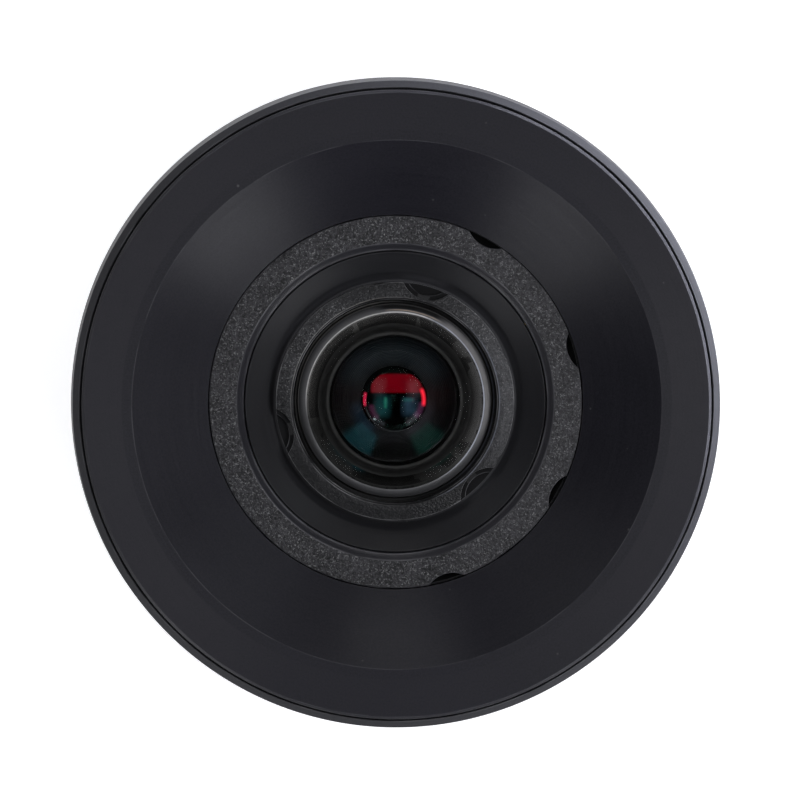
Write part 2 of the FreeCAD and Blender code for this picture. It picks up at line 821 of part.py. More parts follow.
def rear_group():
    # The pieces under the ledge, stacked front to back. The doublet's glasses share
    # their cemented surface.
    pieces = {}
    top = ledge_bottom_z
    radius = rear_glass_radius

    bottom = top - third_thickness
    rim = plain_rim(radius, top, bottom, third_aperture, third_aperture)
    pieces["third_element"] = lens(rim, third_front_rise, third_rear_rise)

    top = bottom
    bottom = top - stop_front_length
    pieces["stop_front_spacer"] = tube(radius, spacer_bore, bottom, top)

    top = bottom
    bottom = top - stop_thickness
    pieces["aperture_stop"] = tube(radius, stop_hole_radius, bottom, top)

    top = bottom
    bottom = top - stop_rear_length
    pieces["stop_rear_spacer"] = tube(radius, spacer_bore, bottom, top)

    top = bottom
    bottom = top - crown_thickness
    rim = plain_rim(radius, top, bottom, crown_aperture, crown_aperture)
    pieces["doublet_crown"] = lens(rim, crown_front_rise, cement_rise)

    top = bottom
    bottom = top - flint_thickness
    rim = plain_rim(radius, top, bottom, crown_aperture, crown_aperture)
    pieces["doublet_flint"] = lens(rim, -cement_rise, -flint_rear_depth)

    top = bottom
    bottom = top - rear_spacer_length
    pieces["rear_spacer"] = tube(radius, spacer_bore, bottom, top)

    top = bottom
    bottom = top - rear_element_thickness
    rim = plain_rim(radius, top, bottom, rear_element_aperture, rear_element_aperture)
    pieces["rear_element"] = lens(rim, rear_element_front_rise, rear_element_back_rise)

    top = bottom
    bottom = top - rear_retainer_length
    retainer = tube(radius, spacer_bore, bottom, top)
    slot = Part.makeBox(
        2 * radius, rear_retainer_slot_width, rear_retainer_slot_depth,
        FreeCAD.Vector(-radius, -rear_retainer_slot_width / 2, bottom),
    )
    pieces["rear_retaining_ring"] = retainer.cut(slot)

    top = bottom
    pieces["ir_cut_filter"] = disc(radius, top - filter_thickness, top)
    return pieces


parts = {
    "hood_bezel": hood_bezel(),
    "outer_sleeve": outer_sleeve(),
    "rear_housing": rear_housing(),
    "mount_stem": mount_stem(),
    "housing_screws": housing_screws(),
    "bezel_o_ring": bezel_o_ring(),
    "thrust_washer": thrust_washer(),
    "wave_washer": wave_washer(),
    "stop_pin": stop_pin(),
    "guide_pins": guide_pins(),
    "focus_ring": focus_ring(),
    "follower_pins": follower_pins(),
    "lens_carrier": lens_carrier(),
    "lens_barrel": lens_barrel(),
    "barrel_lock_ring": barrel_lock_ring(),
    "front_retaining_ring": front_retaining_ring(),
    "front_seal": front_seal(),
    "front_element": front_element(),
    "front_spacer": front_spacer(),
    "second_element": second_element(),
}
parts.update(rear_group())

os.makedirs("parts", exist_ok=True)
for name, shape in parts.items():
    shape.exportStep("parts/" + name + ".step")
    print(name, "solids", len(shape.Solids), "volume", round(shape.Volume, 3), "valid", shape.isValid())
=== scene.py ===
import math

import bmesh
import bpy
import numpy as np
from mathutils import Matrix, Vector


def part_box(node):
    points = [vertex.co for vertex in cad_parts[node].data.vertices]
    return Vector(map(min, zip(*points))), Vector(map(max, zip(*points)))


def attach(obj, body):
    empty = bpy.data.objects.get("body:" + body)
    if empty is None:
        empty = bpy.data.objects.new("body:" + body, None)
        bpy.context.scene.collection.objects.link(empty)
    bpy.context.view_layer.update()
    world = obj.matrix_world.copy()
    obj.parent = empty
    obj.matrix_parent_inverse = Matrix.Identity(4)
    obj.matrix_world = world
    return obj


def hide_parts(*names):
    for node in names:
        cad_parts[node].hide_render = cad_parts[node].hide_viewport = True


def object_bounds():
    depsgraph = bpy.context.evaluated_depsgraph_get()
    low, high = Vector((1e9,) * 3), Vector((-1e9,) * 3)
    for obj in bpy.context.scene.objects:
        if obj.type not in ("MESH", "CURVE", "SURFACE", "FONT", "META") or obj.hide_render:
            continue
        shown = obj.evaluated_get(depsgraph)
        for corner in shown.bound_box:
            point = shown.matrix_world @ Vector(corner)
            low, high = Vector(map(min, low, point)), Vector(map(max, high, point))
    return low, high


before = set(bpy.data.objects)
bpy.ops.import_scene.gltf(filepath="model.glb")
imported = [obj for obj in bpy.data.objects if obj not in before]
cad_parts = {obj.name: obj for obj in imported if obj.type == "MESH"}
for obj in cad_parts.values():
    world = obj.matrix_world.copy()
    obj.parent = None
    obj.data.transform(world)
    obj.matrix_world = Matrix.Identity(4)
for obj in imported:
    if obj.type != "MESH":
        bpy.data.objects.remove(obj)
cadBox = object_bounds()
scene = bpy.context.scene
mm = 0.001
fullTurn = 2 * math.pi
print("frame loaded:", len(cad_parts), "pieces from the build")


# Shader node helpers

class Facts(dict):
    # A dictionary whose entries can also be read as facts.name
    __getattr__ = dict.__getitem__


def addNode(tree, kind, **settings):
    node = tree.nodes.new("ShaderNode" + kind)
    for name, value in settings.items():
        setattr(node, name, value)
    return node


def feed(source, socket):
    # A plain value goes on the socket, colours without their alpha; an output is linked to it,
    # and None leaves the socket alone
    if source is None:
        return
    if isinstance(source, (int, float, tuple)):
        socket.default_value = (*source, 1) if socket.type == "RGBA" else source
    else:
        socket.id_data.links.new(source, socket)


def feedAll(sources, sockets):
    for source, socket in zip(sources, sockets):
        feed(source, socket)


def fill(node, values):
    for name, value in values.items():
        feed(value, node.inputs[name])


def joined(kind, terms, **settings):
    # A new node in the tree of its first socket, fed with all the terms in turn
    tree = next(term.id_data for term in terms if isinstance(term, bpy.types.NodeSocket))
    node = addNode(tree, kind, **settings)
    feedAll(terms, node.inputs)
    return node.outputs


def maths(operation, *terms):
    return joined("Math", terms, operation=operation)[0]


def times(first, second):
    return maths("MULTIPLY", first, second)


def plus(first, second):
    return maths("ADD", first, second)


def minus(first, second):
    return maths("SUBTRACT", first, second)


def vectorMaths(operation, *terms):
    return joined("VectorMath", terms, operation=operation)


def split(vector):
    return joined("SeparateXYZ", [vector])


def mixedShader(*sources):
    return joined("MixShader", sources)[0]


def blended(share, first, second, mode="MIX"):
    # the mix node keeps its colour sockets at places 6 and 7, and its colour result at 2
    terms = (share, *[None] * 5, first, second)
    return joined("Mix", terms, data_type="RGBA", blend_type=mode)[2]


def ranged(value, fromMin, fromMax, toMin=0, toMax=1):
    return joined("MapRange", (value, fromMin, fromMax, toMin, toMax))[0]


def noise(where, scale, detail=2, roughness=0.5):
    node = addNode(where.id_data, "TexNoise")
    fill(node, {"Vector": where, "Scale": scale, "Detail": detail, "Roughness": roughness})
    return node.outputs["Fac"]


def fromAxis(x, y):
    return maths("SQRT", plus(times(x, x), times(y, y)))


def openGroup(name, *inputs):
    # The first input is a vector, the others are numbers
    group = bpy.data.node_groups.new(name, "ShaderNodeTree")
    for label in inputs:
        kind = "NodeSocketVector" if label == "Vector" else "NodeSocketFloat"
        group.interface.new_socket(label, in_out="INPUT", socket_type=kind)
    return group, group.nodes.new("NodeGroupInput").outputs


def closeGroup(group, **results):
    for label in results:
        group.interface.new_socket(label, in_out="OUTPUT", socket_type="NodeSocketFloat")
    fill(group.nodes.new("NodeGroupOutput"), results)
    return group


def placeGroup(group, where, *values):
    node = addNode(where.id_data, "Group")
    node.node_tree = group
    feedAll((where, *values), node.inputs)
    return node.outputs


# Effects that several finishes share

def makeSparkGrain():
    # Spark-eroded grain: rounded pits and peaks, with a few faces that catch the light
    group, (where, grains, *_) = openGroup("sparkGrain", "Vector", "Grains")

    def layer(share, detail, roughness=0.5):
        return noise(where, times(grains, share), detail, roughness)

    cells = addNode(group, "TexVoronoi", feature="SMOOTH_F1")
    fill(cells, {"Vector": where, "Scale": times(grains, 0.8), "Smoothness": 0.5})
    pits = minus(1, cells.outputs["Distance"])
    height = plus(times(layer(1, 2, 0.65), 0.7), times(pits, 0.5))
    ridge = maths("ABSOLUTE", minus(layer(0.6, 1), 0.5))
    breaks = ranged(layer(0.45, 1), 0.5, 0.62)
    worms = times(ranged(ridge, 0.03, 0.008), breaks)
    glint = maths("MAXIMUM", ranged(layer(1.25, 1), 0.62, 0.76), worms)
    tone = plus(times(layer(0.7, 2), 0.7), times(layer(0.12, 3), 0.3))
    return closeGroup(group, Height=height, Glint=glint, Tone=tone)


def makeTurningMarks():
    # Fine rings left by the lathe, over flat faces and walls alike
    group, (where, lines, *_) = openGroup("turningMarks", "Vector", "Lines")
    x, y, z = split(where)
    reach = fromAxis(x, y)
    safeReach = maths("MAXIMUM", reach, 1e-5)

    def drift(side, start):
        # changes slowly round the axis, so that no ring is quite even
        return maths("MULTIPLY_ADD", maths("DIVIDE", side, safeReach), 2.3, start)

    across = addNode(group, "CombineXYZ")
    feedAll((times(reach, lines), times(z, lines), drift(x, 0.37)), across.inputs)
    rings = addNode(group, "TexNoise", noise_dimensions="4D")
    fill(rings, {"Vector": across.outputs[0], "W": drift(y, 0.81), "Scale": 1, "Detail": 2})
    height = rings.outputs["Fac"]
    return closeGroup(group, Height=height, Streak=ranged(height, 0.3, 0.7))


def makeEdgeWearAndSheen():
    # Sharp edges rubbed lighter, in uneven stretches; the pale edges also stand in for painted
    # edge highlights
    group, (where, edge, patches, *_) = openGroup("edgeWearAndSheen", "Vector", "Edge", "Patches")
    return closeGroup(group, Mask=times(edge, ranged(noise(where, patches, 4), 0.35, 0.6)))


def makeEdgeFinder():
    # Edges of the pieces that keep their shape from the build
    group = openGroup("edgeFinder")[0]
    bevel = addNode(group, "Bevel", samples=4)
    feed(0.12 * mm, bevel.inputs["Radius"])
    plain = addNode(group, "NewGeometry").outputs["True Normal"]
    match = vectorMaths("DOT_PRODUCT", bevel.outputs["Normal"], plain)["Value"]
    return closeGroup(group, Edge=ranged(match, 0.99, 0.86))


def makeDust():
    # Loose specks, one to a cell in a share of the cells
    group, (where, specks, share, *_) = openGroup("dust", "Vector", "Specks", "Share")
    dots = addNode(group, "TexVoronoi")
    fill(dots, {"Vector": where, "Scale": specks})
    near = ranged(dots.outputs["Distance"], 0.1, 0.04)
    chosen = joined("SeparateColor", [dots.outputs["Color"]])[0]
    return closeGroup(group, Mask=times(near, maths("GREATER_THAN", share, chosen)))


def makeSoftPatch():
    # A soft-edged rectangle in the plane across the axis, in millimetres
    labels = ("Vector", "Across", "Up", "HalfWidth", "HalfHeight", "Soft")
    group, (where, across, up, halfWidth, halfHeight, soft, *_) = openGroup("softPatch", *labels)
    x, y = split(where)[:2]
    sides = []
    for side, middle, half in ((x, across, halfWidth), (y, up, halfHeight)):
        away = maths("ABSOLUTE", minus(times(side, 1 / mm), middle))
        sides.append(ranged(away, plus(half, soft), minus(half, soft)))
    return closeGroup(group, Mask=times(*sides))


def makeFanPatch():
    # A soft-edged piece of a ring round the axis: azimuth in degrees, radii in millimetres
    labels = ("Vector", "Azimuth", "HalfAngle", "Inner", "Outer", "Soft")
    group, (where, azimuth, halfAngle, inner, outer, soft, *_) = openGroup("fanPatch", *labels)
    turned = addNode(group, "VectorRotate", rotation_type="Z_AXIS")
    fill(turned, {"Vector": where, "Angle": times(azimuth, -math.pi / 180)})
    x, y = split(turned.outputs[0])[:2]
    away = maths("ABSOLUTE", times(maths("ARCTAN2", y, x), 180 / math.pi))
    wide = ranged(away, times(halfAngle, 1.25), times(halfAngle, 0.8))
    reach = times(fromAxis(x, y), 1 / mm)
    depth = maths("MINIMUM", minus(reach, inner), minus(outer, reach))
    return closeGroup(group, Mask=times(wide, ranged(depth, 0, soft)))


sparkGrain = makeSparkGrain()
turningMarks = makeTurningMarks()
edgeWearAndSheen = makeEdgeWearAndSheen()
edgeFinder = makeEdgeFinder()
dust = makeDust()
softPatch = makeSoftPatch()
fanPatch = makeFanPatch()


def startMaterial(name, roughness=0.5, metallic=0, specular=0.5, ior=1.5):
    material = bpy.data.materials.new(name)
    material.use_nodes = True
    tree = material.node_tree
    shader = tree.nodes["Principled BSDF"]
    fill(shader, {"Roughness": roughness, "Metallic": metallic,
                  "Specular IOR Level": specular, "IOR": ior})
    return material, shader, addNode(tree, "TexCoord").outputs["Object"]


def placeWearAndSheen(where, built=False, patches=400):
    # Lathed pieces carry their edges as an attribute, built ones have theirs looked for
    if built:
        edge = placeGroup(edgeFinder, where)["Edge"]
    else:
        edge = addNode(where.id_data, "Attribute", attribute_name="edge").outputs["Fac"]
    return placeGroup(edgeWearAndSheen, where, edge, patches)["Mask"]


def dress(shader, color, rough, height, depth):
    bump = addNode(height.id_data, "Bump")
    fill(bump, {"Distance": depth, "Strength": 1, "Height": height})
    fill(shader, {"Base Color": color, "Roughness": rough, "Normal": bump.outputs["Normal"]})


def grey(value):
    return (value, value, value)


def changed(look, **values):
    return Facts({**look, **values})


def fan(color, azimuth, halfAngle, inner, outer, soft, uneven, share=1):
    place = (azimuth, halfAngle, inner, outer, soft)
    return Facts(group=fanPatch, place=place, color=color, uneven=uneven, share=share, within=None)


def ring(color, *facts):
    # Wide enough to close even where a fan's sides grow soft
    return fan(color, 0, 300, *facts)


def pane(color, across, up, halfWidth, halfHeight, soft, uneven, within=None):
    # within: radius of a round window that cuts the pane off
    place = (across, up, halfWidth, halfHeight, soft)
    return Facts(group=softPatch, place=place, color=color, uneven=uneven, share=1, within=within)


def patchMask(where, patch):
    mask = placeGroup(patch.group, where, *patch.place)["Mask"]
    if patch.within:
        mask = times(mask, placeGroup(fanPatch, where, 0, 300, -1, patch.within, 0.15)["Mask"])
    share = patch.share
    cloud = noise(where, 1500)
    return times(mask, ranged(cloud, 0.3, 0.7, share * (1 - patch.uneven), share))


def paintIn(color, where, patches):
    # Patches of another colour, each laid over the ones before
    for patch in patches:
        color = blended(patchMask(where, patch), color, patch.color)
    return color


def paintGlowIn(shader, where, patches, shift=(0, 0)):
    # Painted light, laid on as glow patch by patch, such as the coloured light that coated
    # surfaces send back
    moved = vectorMaths("SUBTRACT", where, (shift[0] * mm, shift[1] * mm, 0))[0]
    total = grey(0)
    for patch in patches:
        color = blended(patchMask(moved, patch), grey(0), patch.color)
        total = blended(1, total, color, "ADD")
    fill(shader, {"Emission Color": total, "Emission Strength": 1})


def makeTurnedFinish(name, look):
    # Anodised or painted turned metal
    material, shader, where = startMaterial(name, specular=look.specular)
    if look.turned:
        # Grooves run round the axis and spread the gloss across them
        around = addNode(where.id_data, "Tangent", direction_type="RADIAL", axis="Z")
        fill(shader, {"Anisotropic": look.turned, "Anisotropic Rotation": 0.25,
                      "Tangent": around.outputs["Tangent"]})
    marks = placeGroup(turningMarks, where, look.lines)
    wear = placeWearAndSheen(where, look.built)
    specks = placeGroup(dust, where, look.dustSize, look.dustShare)
    cloud = noise(where, 90, 4)
    mottle = noise(where, 8000, 1)
    both = plus(times(cloud, 0.4), times(mottle, 0.6))
    color = blended(ranged(both, 0.35, 0.65), look.dark, look.light)
    color = blended(times(marks["Streak"], look.streak), color, look.streakColor)
    # pale sharp edges: wear, and painted edge highlights
    color = blended(times(wear, look.wear), color, look.wearColor)
    color = paintIn(color, where, look.patches)
    color = blended(times(specks["Mask"], look.dust), color, look.dustColor)
    rough = ranged(marks["Streak"], 0, 1, look.smooth, look.rough)
    grit = times(noise(where, look.grit), look.gritShare)
    dress(shader, color, rough, plus(marks["Height"], grit), look.depth)
    # painted reflections, laid on as glow
    if look.glow:
        paintGlowIn(shader, where, look.glow)
    return material


def makeGrainFinish(name, look):
    # Grained face; walls and bevels stay smooth where the surface leans away from the axis
    material, shader, where = startMaterial(name, specular=look.specular)
    grain = placeGroup(sparkGrain, where, look.grains)
    marks = placeGroup(turningMarks, where, look.lines)
    wear = placeWearAndSheen(where)
    facing = split(addNode(where.id_data, "NewGeometry").outputs["True Normal"])["Z"]
    onTop = maths("GREATER_THAN", split(where)["Z"], look.grainFloor * mm)
    grained = times(ranged(facing, look.grainFrom, look.grainTo), onTop)
    color = blended(ranged(grain["Tone"], 0.4, 0.6), look.dark, look.light)
    # painted glints: the grain's catching faces are painted paler as well as made smoother
    color = blended(times(grain["Glint"], look.glint), color, look.glintColor)
    color = blended(grained, look.smoothColor, color)
    color = paintIn(color, where, look.patches)
    # pale sharp edges off the grain: wear, and painted edge highlights
    wornAndSheen = times(wear, minus(look.wear, times(grained, look.wear)))
    color = blended(wornAndSheen, color, look.wearColor)
    rough = ranged(grain["Glint"], 0, 1, look.rough, look.smooth)
    rough = ranged(grained, 0, 1, look.wallRough, rough)
    coarse = times(grain["Height"], grained)
    fine = times(marks["Height"], look.markShare)
    dress(shader, color, rough, plus(coarse, fine), look.depth)
    return material


# What most of the turned and of the grained finishes share
turnedLook = Facts(
    streak=0.3, lines=9000, turned=0, wear=0.5, built=False, patches=(),
    dust=0.3, dustColor=grey(0.12), dustSize=1200, dustShare=0.08,
    grit=14000, gritShare=0.8, depth=4e-6, glow=(),
)
grainedLook = Facts(
    glint=0.9, glintColor=(0.2, 0.2, 0.205), grainFrom=0.8, grainTo=0.92,
    wear=0.8, markShare=0.08,
)
print("shared effects made:", len(bpy.data.node_groups), "node groups")


# Mesh helpers

def roundedCorner(here, before, after, rounding, steps):
    # Arc in place of a corner, or the corner itself where none fits
    back, ahead = before - here, after - here
    backLength, aheadLength = np.linalg.norm(back), np.linalg.norm(ahead)
    if rounding <= 0 or min(backLength, aheadLength) < 1e-6:
        return [here]
    back, ahead = back / backLength, ahead / aheadLength
    half = math.acos(max(-1, min(1, float(back @ ahead)))) / 2
    if half > math.pi / 2 - 0.02:
        return [here]
    reach = min(rounding / math.tan(half), 0.48 * backLength, 0.48 * aheadLength)
    radius = reach * math.tan(half)
    middle = back + ahead
    middle /= np.linalg.norm(middle)
    centre = here + middle * radius / math.sin(half)
    start, end = here + back * reach - centre, here + ahead * reach - centre
    sweep = math.atan2(start[0] * end[1] - start[1] * end[0], float(start @ end))
    arc = []
    for k in range(steps + 1):
        c, s = math.cos(sweep * k / steps), math.sin(sweep * k / steps)
        arc.append(centre + np.array([start[0] * c - start[1] * s, start[0] * s + start[1] * c]))
    return arc


def smoothOutline(corners, step=0.25, roundSteps=6):
    # Closed outline of (radius, z) corners in mm, with an optional third value for
    # the rounding. Long straight runs get points so that the shading stays even.
    points = [np.array(corner[:2], float) for corner in corners]
    outline = []
    for i, corner in enumerate(corners):
        rounding = corner[2] if len(corner) > 2 else 0
        after = points[(i + 1) % len(points)]
        outline += roundedCorner(points[i], points[i - 1], after, rounding, roundSteps)
    dense = []
    # the edge wear that this keeps narrow is also a painted edge highlight
    hold = 0.03      # points this close to a corner keep its wear narrow
    for i, here in enumerate(outline):
        after = outline[(i + 1) % len(outline)]
        run = float(np.linalg.norm(after - here))
        pieces = max(1, math.ceil(run / step))
        shares = [k / pieces for k in range(pieces)]
        if run > 5 * hold:
            shares = sorted(shares + [hold / run, 1 - hold / run])
        dense += [here + (after - here) * share for share in shares]
    return np.array(dense)


def edgeTurn(radii, heights, closed):
    # 0 on flat or hollow stretches, 1 where the outline turns outwards by twelve degrees or more
    points = np.stack([radii, heights], axis=-1)
    back = points - np.roll(points, 1, axis=0)
    ahead = np.roll(points, -1, axis=0) - points
    across = back[..., 0] * ahead[..., 1] - back[..., 1] * ahead[..., 0]
    along = (back * ahead).sum(axis=-1)
    area = (points[..., 0] * ahead[..., 1] - points[..., 1] * ahead[..., 0]).sum(axis=0)
    turn = np.degrees(np.arctan2(across, along)) * np.sign(area)
    if not closed:
        turn[0] = turn[-1] = 0
    return np.clip(turn / 12, 0, 1)


def gridPiece(name, rows, angles, materials, closed=True, sharp=32):
    # Skin over rows of the outline and columns round the axis. A row is (radii, heights) in mm.
    radii, heights = np.array(rows, float).swapaxes(0, 1)
    count, columns = radii.shape
    verts = np.stack([radii * np.cos(angles), radii * np.sin(angles), heights], axis=-1)
    row = np.arange(count if closed else count - 1)[:, None]
    column = np.arange(columns)[None, :]
    nextRow, nextColumn = (row + 1) % count, (column + 1) % columns
    corners = ((row, column), (row, nextColumn), (nextRow, nextColumn), (nextRow, column))
    faces = np.stack([r * columns + c for r, c in corners], axis=-1).reshape(-1, 4)
    mesh = bpy.data.meshes.new(name)
    mesh.from_pydata((verts.reshape(-1, 3) * mm).tolist(), [], faces.tolist())
    edge = mesh.attributes.new("edge", "FLOAT", "POINT")
    edge.data.foreach_set("value", edgeTurn(radii, heights, closed).reshape(-1))
    skin = bmesh.new()
    skin.from_mesh(mesh)
    bmesh.ops.remove_doubles(skin, verts=skin.verts, dist=2e-7)
    bmesh.ops.dissolve_degenerate(skin, edges=skin.edges, dist=1e-7)
    bmesh.ops.recalc_face_normals(skin, faces=skin.faces)
    skin.to_mesh(mesh)
    skin.free()
    mesh.shade_smooth()
    mesh.set_sharp_from_angle(angle=math.radians(sharp))
    for material in materials:
        mesh.materials.append(material)
    piece = bpy.data.objects.new(name, mesh)
    scene.collection.objects.link(piece)
    piece.modifiers.new("evenShading", "WEIGHTED_NORMAL").keep_sharp = True
    return piece


def evenAngles(columns):
    return np.linspace(0, fullTurn, columns, endpoint=False)


def aroundAxis(outline, columns):
    return np.repeat(np.array(outline)[:, :, None], columns, axis=2)


def turnedPiece(name, outline, columns, materials, closed=True, sharp=32):
    rows = aroundAxis(outline, columns)
    return gridPiece(name, rows, evenAngles(columns), materials, closed, sharp)


def rowKeeper(angles):
    # A list of rows and what adds to it: radius and height, each one value or one per angle
    rows = []

    def keep(radius, height):
        rows.append([np.broadcast_to(value, angles.shape) for value in (radius, height)])

    return rows, keep


def paintBand(piece, index, inner, outer, low, high):
    # Faces between two radii and two heights take another of the piece's materials
    for face in piece.data.polygons:
        reach = math.hypot(face.center.x, face.center.y) / mm
        if inner < reach < outer and low < face.center.z / mm < high:
            face.material_index = index


def settle(piece, node, body):
    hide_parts(node)
    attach(piece, body)


def roughField(x, y, cell, seed):
    # Smooth random heights from 0 to 1 over a plane, one value per cell
    table = np.random.default_rng(seed).random((256, 256))
    u, v = x / cell, y / cell
    i, j = np.floor(u).astype(int), np.floor(v).astype(int)
    s, t = u - i, v - j
    s, t = s * s * (3 - 2 * s), t * t * (3 - 2 * t)

    def corner(di, dj):
        return table[(i + di) % 256, (j + dj) % 256]

    near = corner(0, 0) * (1 - s) + corner(1, 0) * s
    far = corner(0, 1) * (1 - s) + corner(1, 1) * s
    return near * (1 - t) + far * t


def grainRelief(shape, radius, angles):
    # Coarse grains with finer ones on them
    x, y = radius * np.cos(angles), radius * np.sin(angles)
    cell, seed = shape.grainCell, shape.grainSeed
    grain = 0.6 * roughField(x, y, cell, seed) + 0.4 * roughField(x, y, cell / 2, seed + 1)
    return shape.grainDepth * grain


def extents(node):
    # Outer radius, top and bottom of a node in mm
    low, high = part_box(node)
    return high[0] / mm, high[2] / mm, low[2] / mm


def circleReach(centre, outer, radius):
    # Half the angle over which a round cutter meets a circle
    return math.acos((centre ** 2 + outer ** 2 - radius ** 2) / (2 * centre * outer))


def circleLimit(angles, centreAngle, circleRadius, radius, outer):
    # Distance from the axis to the near side of a round cutter, or outer where it misses
    turn = (angles - centreAngle + math.pi) % fullTurn - math.pi
    side = circleRadius * np.sin(turn)
    hits = (np.abs(side) < radius) & (np.abs(turn) < math.pi / 2)
    near = circleRadius * np.cos(turn) - np.sqrt(np.maximum(radius ** 2 - side ** 2, 0))
    return np.where(hits, np.minimum(near, outer), outer)


def cutLimit(angles, places, circleRadius, radius, outer):
    # The same for cutters at several places
    limit = np.full(len(angles), outer)
    for place in places:
        limit = np.minimum(limit, circleLimit(angles, place, circleRadius, radius, outer))
    return limit


def anglesWithCorners(columns, places, reaches):
    # Even angles with the nearest ones moved onto the corners of the cuts
    angles = evenAngles(columns)
    corners = [place + side for reach in reaches for place in places for side in (-reach, reach)]
    for corner in corners:
        corner = corner % fullTurn
        angles[round(corner / fullTurn * columns) % columns] = corner
    return angles


# Hood bezel: flat front ring, rim and cone

bezelShape = Facts(
    rimInset=0.12, chamfer=0.16, rimHeight=1.4, edgeRound=0.04, frontLand=2.97,
    mouthRound=0.05, coneDepth=4.2, collar=11.72, floorGap=0.06, footDrop=1.9,
    skirtStep=1.08, skirtWall=1.3, skirtDrop=7.5, roofDrop=1.5, roofInset=1.2,
    roofSlope=0.2, coneWall=0.4, wellStep=1.74, wallStep=1.2, columns=512,
)
bezelLook = changed(
    turnedLook, dark=(0.0086, 0.0084, 0.0118), light=(0.0156, 0.0152, 0.0206),
    streakColor=(0.017, 0.0165, 0.022), lines=7000, turned=0.75,
    wear=0.6, wearColor=(0.11, 0.11, 0.12),
    dust=0.35, dustColor=grey(0.16), dustSize=900, dustShare=0.1,
    smooth=0.36, rough=0.46, specular=0.25, grit=16000, gritShare=0.9, depth=4.5e-6,
    patches=[
        # the flat front ring a little paler all round, and a painted highlight at its left and
        # right
        ring((0.02, 0.0195, 0.024), 17.15, 20.6, 0.1, 0.3, 0.2),
        fan((0.024, 0.023, 0.028), 188, 48, 17.15, 20.6, 0.1, 0.3, 0.36),
        fan((0.024, 0.023, 0.028), 2, 42, 17.15, 20.6, 0.1, 0.3, 0.36),
    ],
)


def makeHoodBezel():
    rim, top, bottom = extents("hood_bezel")
    shape = bezelShape
    rim -= shape.rimInset
    chamfer, edge = shape.chamfer, shape.edgeRound
    seat, skirtEnd, roof = (top - shape[name] for name in ("rimHeight", "skirtDrop", "roofDrop"))
    skirt = rim - shape.skirtStep
    skirtInner = skirt - shape.skirtWall
    mouth = rim - chamfer - shape.frontLand
    foot, footZ = shape.collar + shape.floorGap, top - shape.coneDepth
    footEnd = footZ - shape.footDrop
    well = shape.collar + shape.wellStep
    wall = well + shape.wallStep
    corners = [
        (mouth, top, shape.mouthRound), (rim - chamfer, top, edge), (rim, top - chamfer, edge),
        (rim, seat), (skirt, seat), (skirt, skirtEnd), (skirtInner, skirtEnd), (skirtInner, roof),
        (mouth - shape.roofInset, roof - shape.roofSlope), (wall, footZ + shape.coneWall),
        (wall, bottom), (well, bottom), (well, footEnd), (foot, footEnd), (foot, footZ, edge),
    ]
    finish = makeTurnedFinish("bezelBlack", bezelLook)
    piece = turnedPiece("hoodBezel", smoothOutline(corners, step=0.4), shape.columns, [finish])
    settle(piece, "hood_bezel", "housing")


# Outer sleeve: lip, flare and fluted grip

sleeveShape = Facts(
    seatDepth=1.4, lipSetback=0.7, lipLand=0.06, bevelWidth=0.4, bevelDepth=0.4,
    edgeRound=0.07, flareDepth=4.4, gripStep=0.23, gripTop=6.2, gripHeight=6.4,
    flutes=90, fluteRadius=0.42, fluteDepth=0.18, fluteColumns=7, landColumns=5,
    tailChamfer=0.5, gripTaper=0.12, tailTaper=0.5, wall=1.75,
)
sleeveLook = changed(
    turnedLook, dark=(0.018, 0.018, 0.021), light=(0.024, 0.024, 0.028),
    streakColor=(0.03, 0.03, 0.034), lines=5000, wearColor=(0.14, 0.14, 0.15),
    dustColor=grey(0.16), dustSize=900, smooth=0.48, rough=0.6, specular=0.2, depth=3.5e-6,
)


def makeOuterSleeve():
    outer = min(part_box("outer_sleeve")[1][:2]) / mm
    bottom = extents("outer_sleeve")[2]
    rim, front = extents("hood_bezel")[:2]
    shape = sleeveShape
    lip, seat, gripTop = (front - shape[name] for name in ("lipSetback", "seatDepth", "gripTop"))
    lipEdge = rim + shape.lipLand
    gripBottom = gripTop - shape.gripHeight
    grip = outer - shape.gripStep
    bore = outer - shape.wall
    edge, tail = shape.edgeRound, shape.tailChamfer
    corners = [
        (rim, seat), (rim, lip, 0.03), (lipEdge, lip, 0.04),
        (lipEdge + shape.bevelWidth, lip - shape.bevelDepth, edge),
        (outer, front - shape.flareDepth, edge), (outer, gripTop, edge),
        (grip, gripTop, 0.03), (grip, gripBottom, 0.03),
        (outer - shape.gripTaper, gripBottom, edge),
        (outer - shape.tailTaper, bottom + tail, 0.08), (outer - tail, bottom, 0.04),
        (bore, bottom), (bore, seat),
    ]
    outline = smoothOutline(corners, step=0.8, roundSteps=4)
    flutes, radius = shape.flutes, shape.fluteRadius
    pitch = fullTurn / flutes
    centre = grip + radius - shape.fluteDepth
    reach = circleReach(centre, grip, radius)
    inFlute = np.linspace(-reach, reach, shape.fluteColumns)
    onLand = np.linspace(reach, pitch - reach, shape.landColumns)[1:-1]
    single = np.concatenate([inFlute, onLand])
    angles = (np.arange(flutes)[:, None] * pitch + single[None, :]).reshape(-1)
    limit = np.tile(circleLimit(single, 0, centre, radius, grip), flutes)
    rows = aroundAxis(outline, len(angles))
    radii, heights = rows[:, 0], rows[:, 1]
    onGrip = (np.abs(radii - grip) < 0.02) & (np.abs(heights - (gripTop + gripBottom) / 2)
                                              < shape.gripHeight / 2 - 0.02)
    rows[:, 0] = np.where(onGrip, np.minimum(radii, limit[None, :]), radii)
    piece = gridPiece("outerSleeve", rows, angles, [makeTurnedFinish("sleeveBlack", sleeveLook)])
    settle(piece, "outer_sleeve", "housing")


# Focus ring: grained face, smooth bevel, four scallops

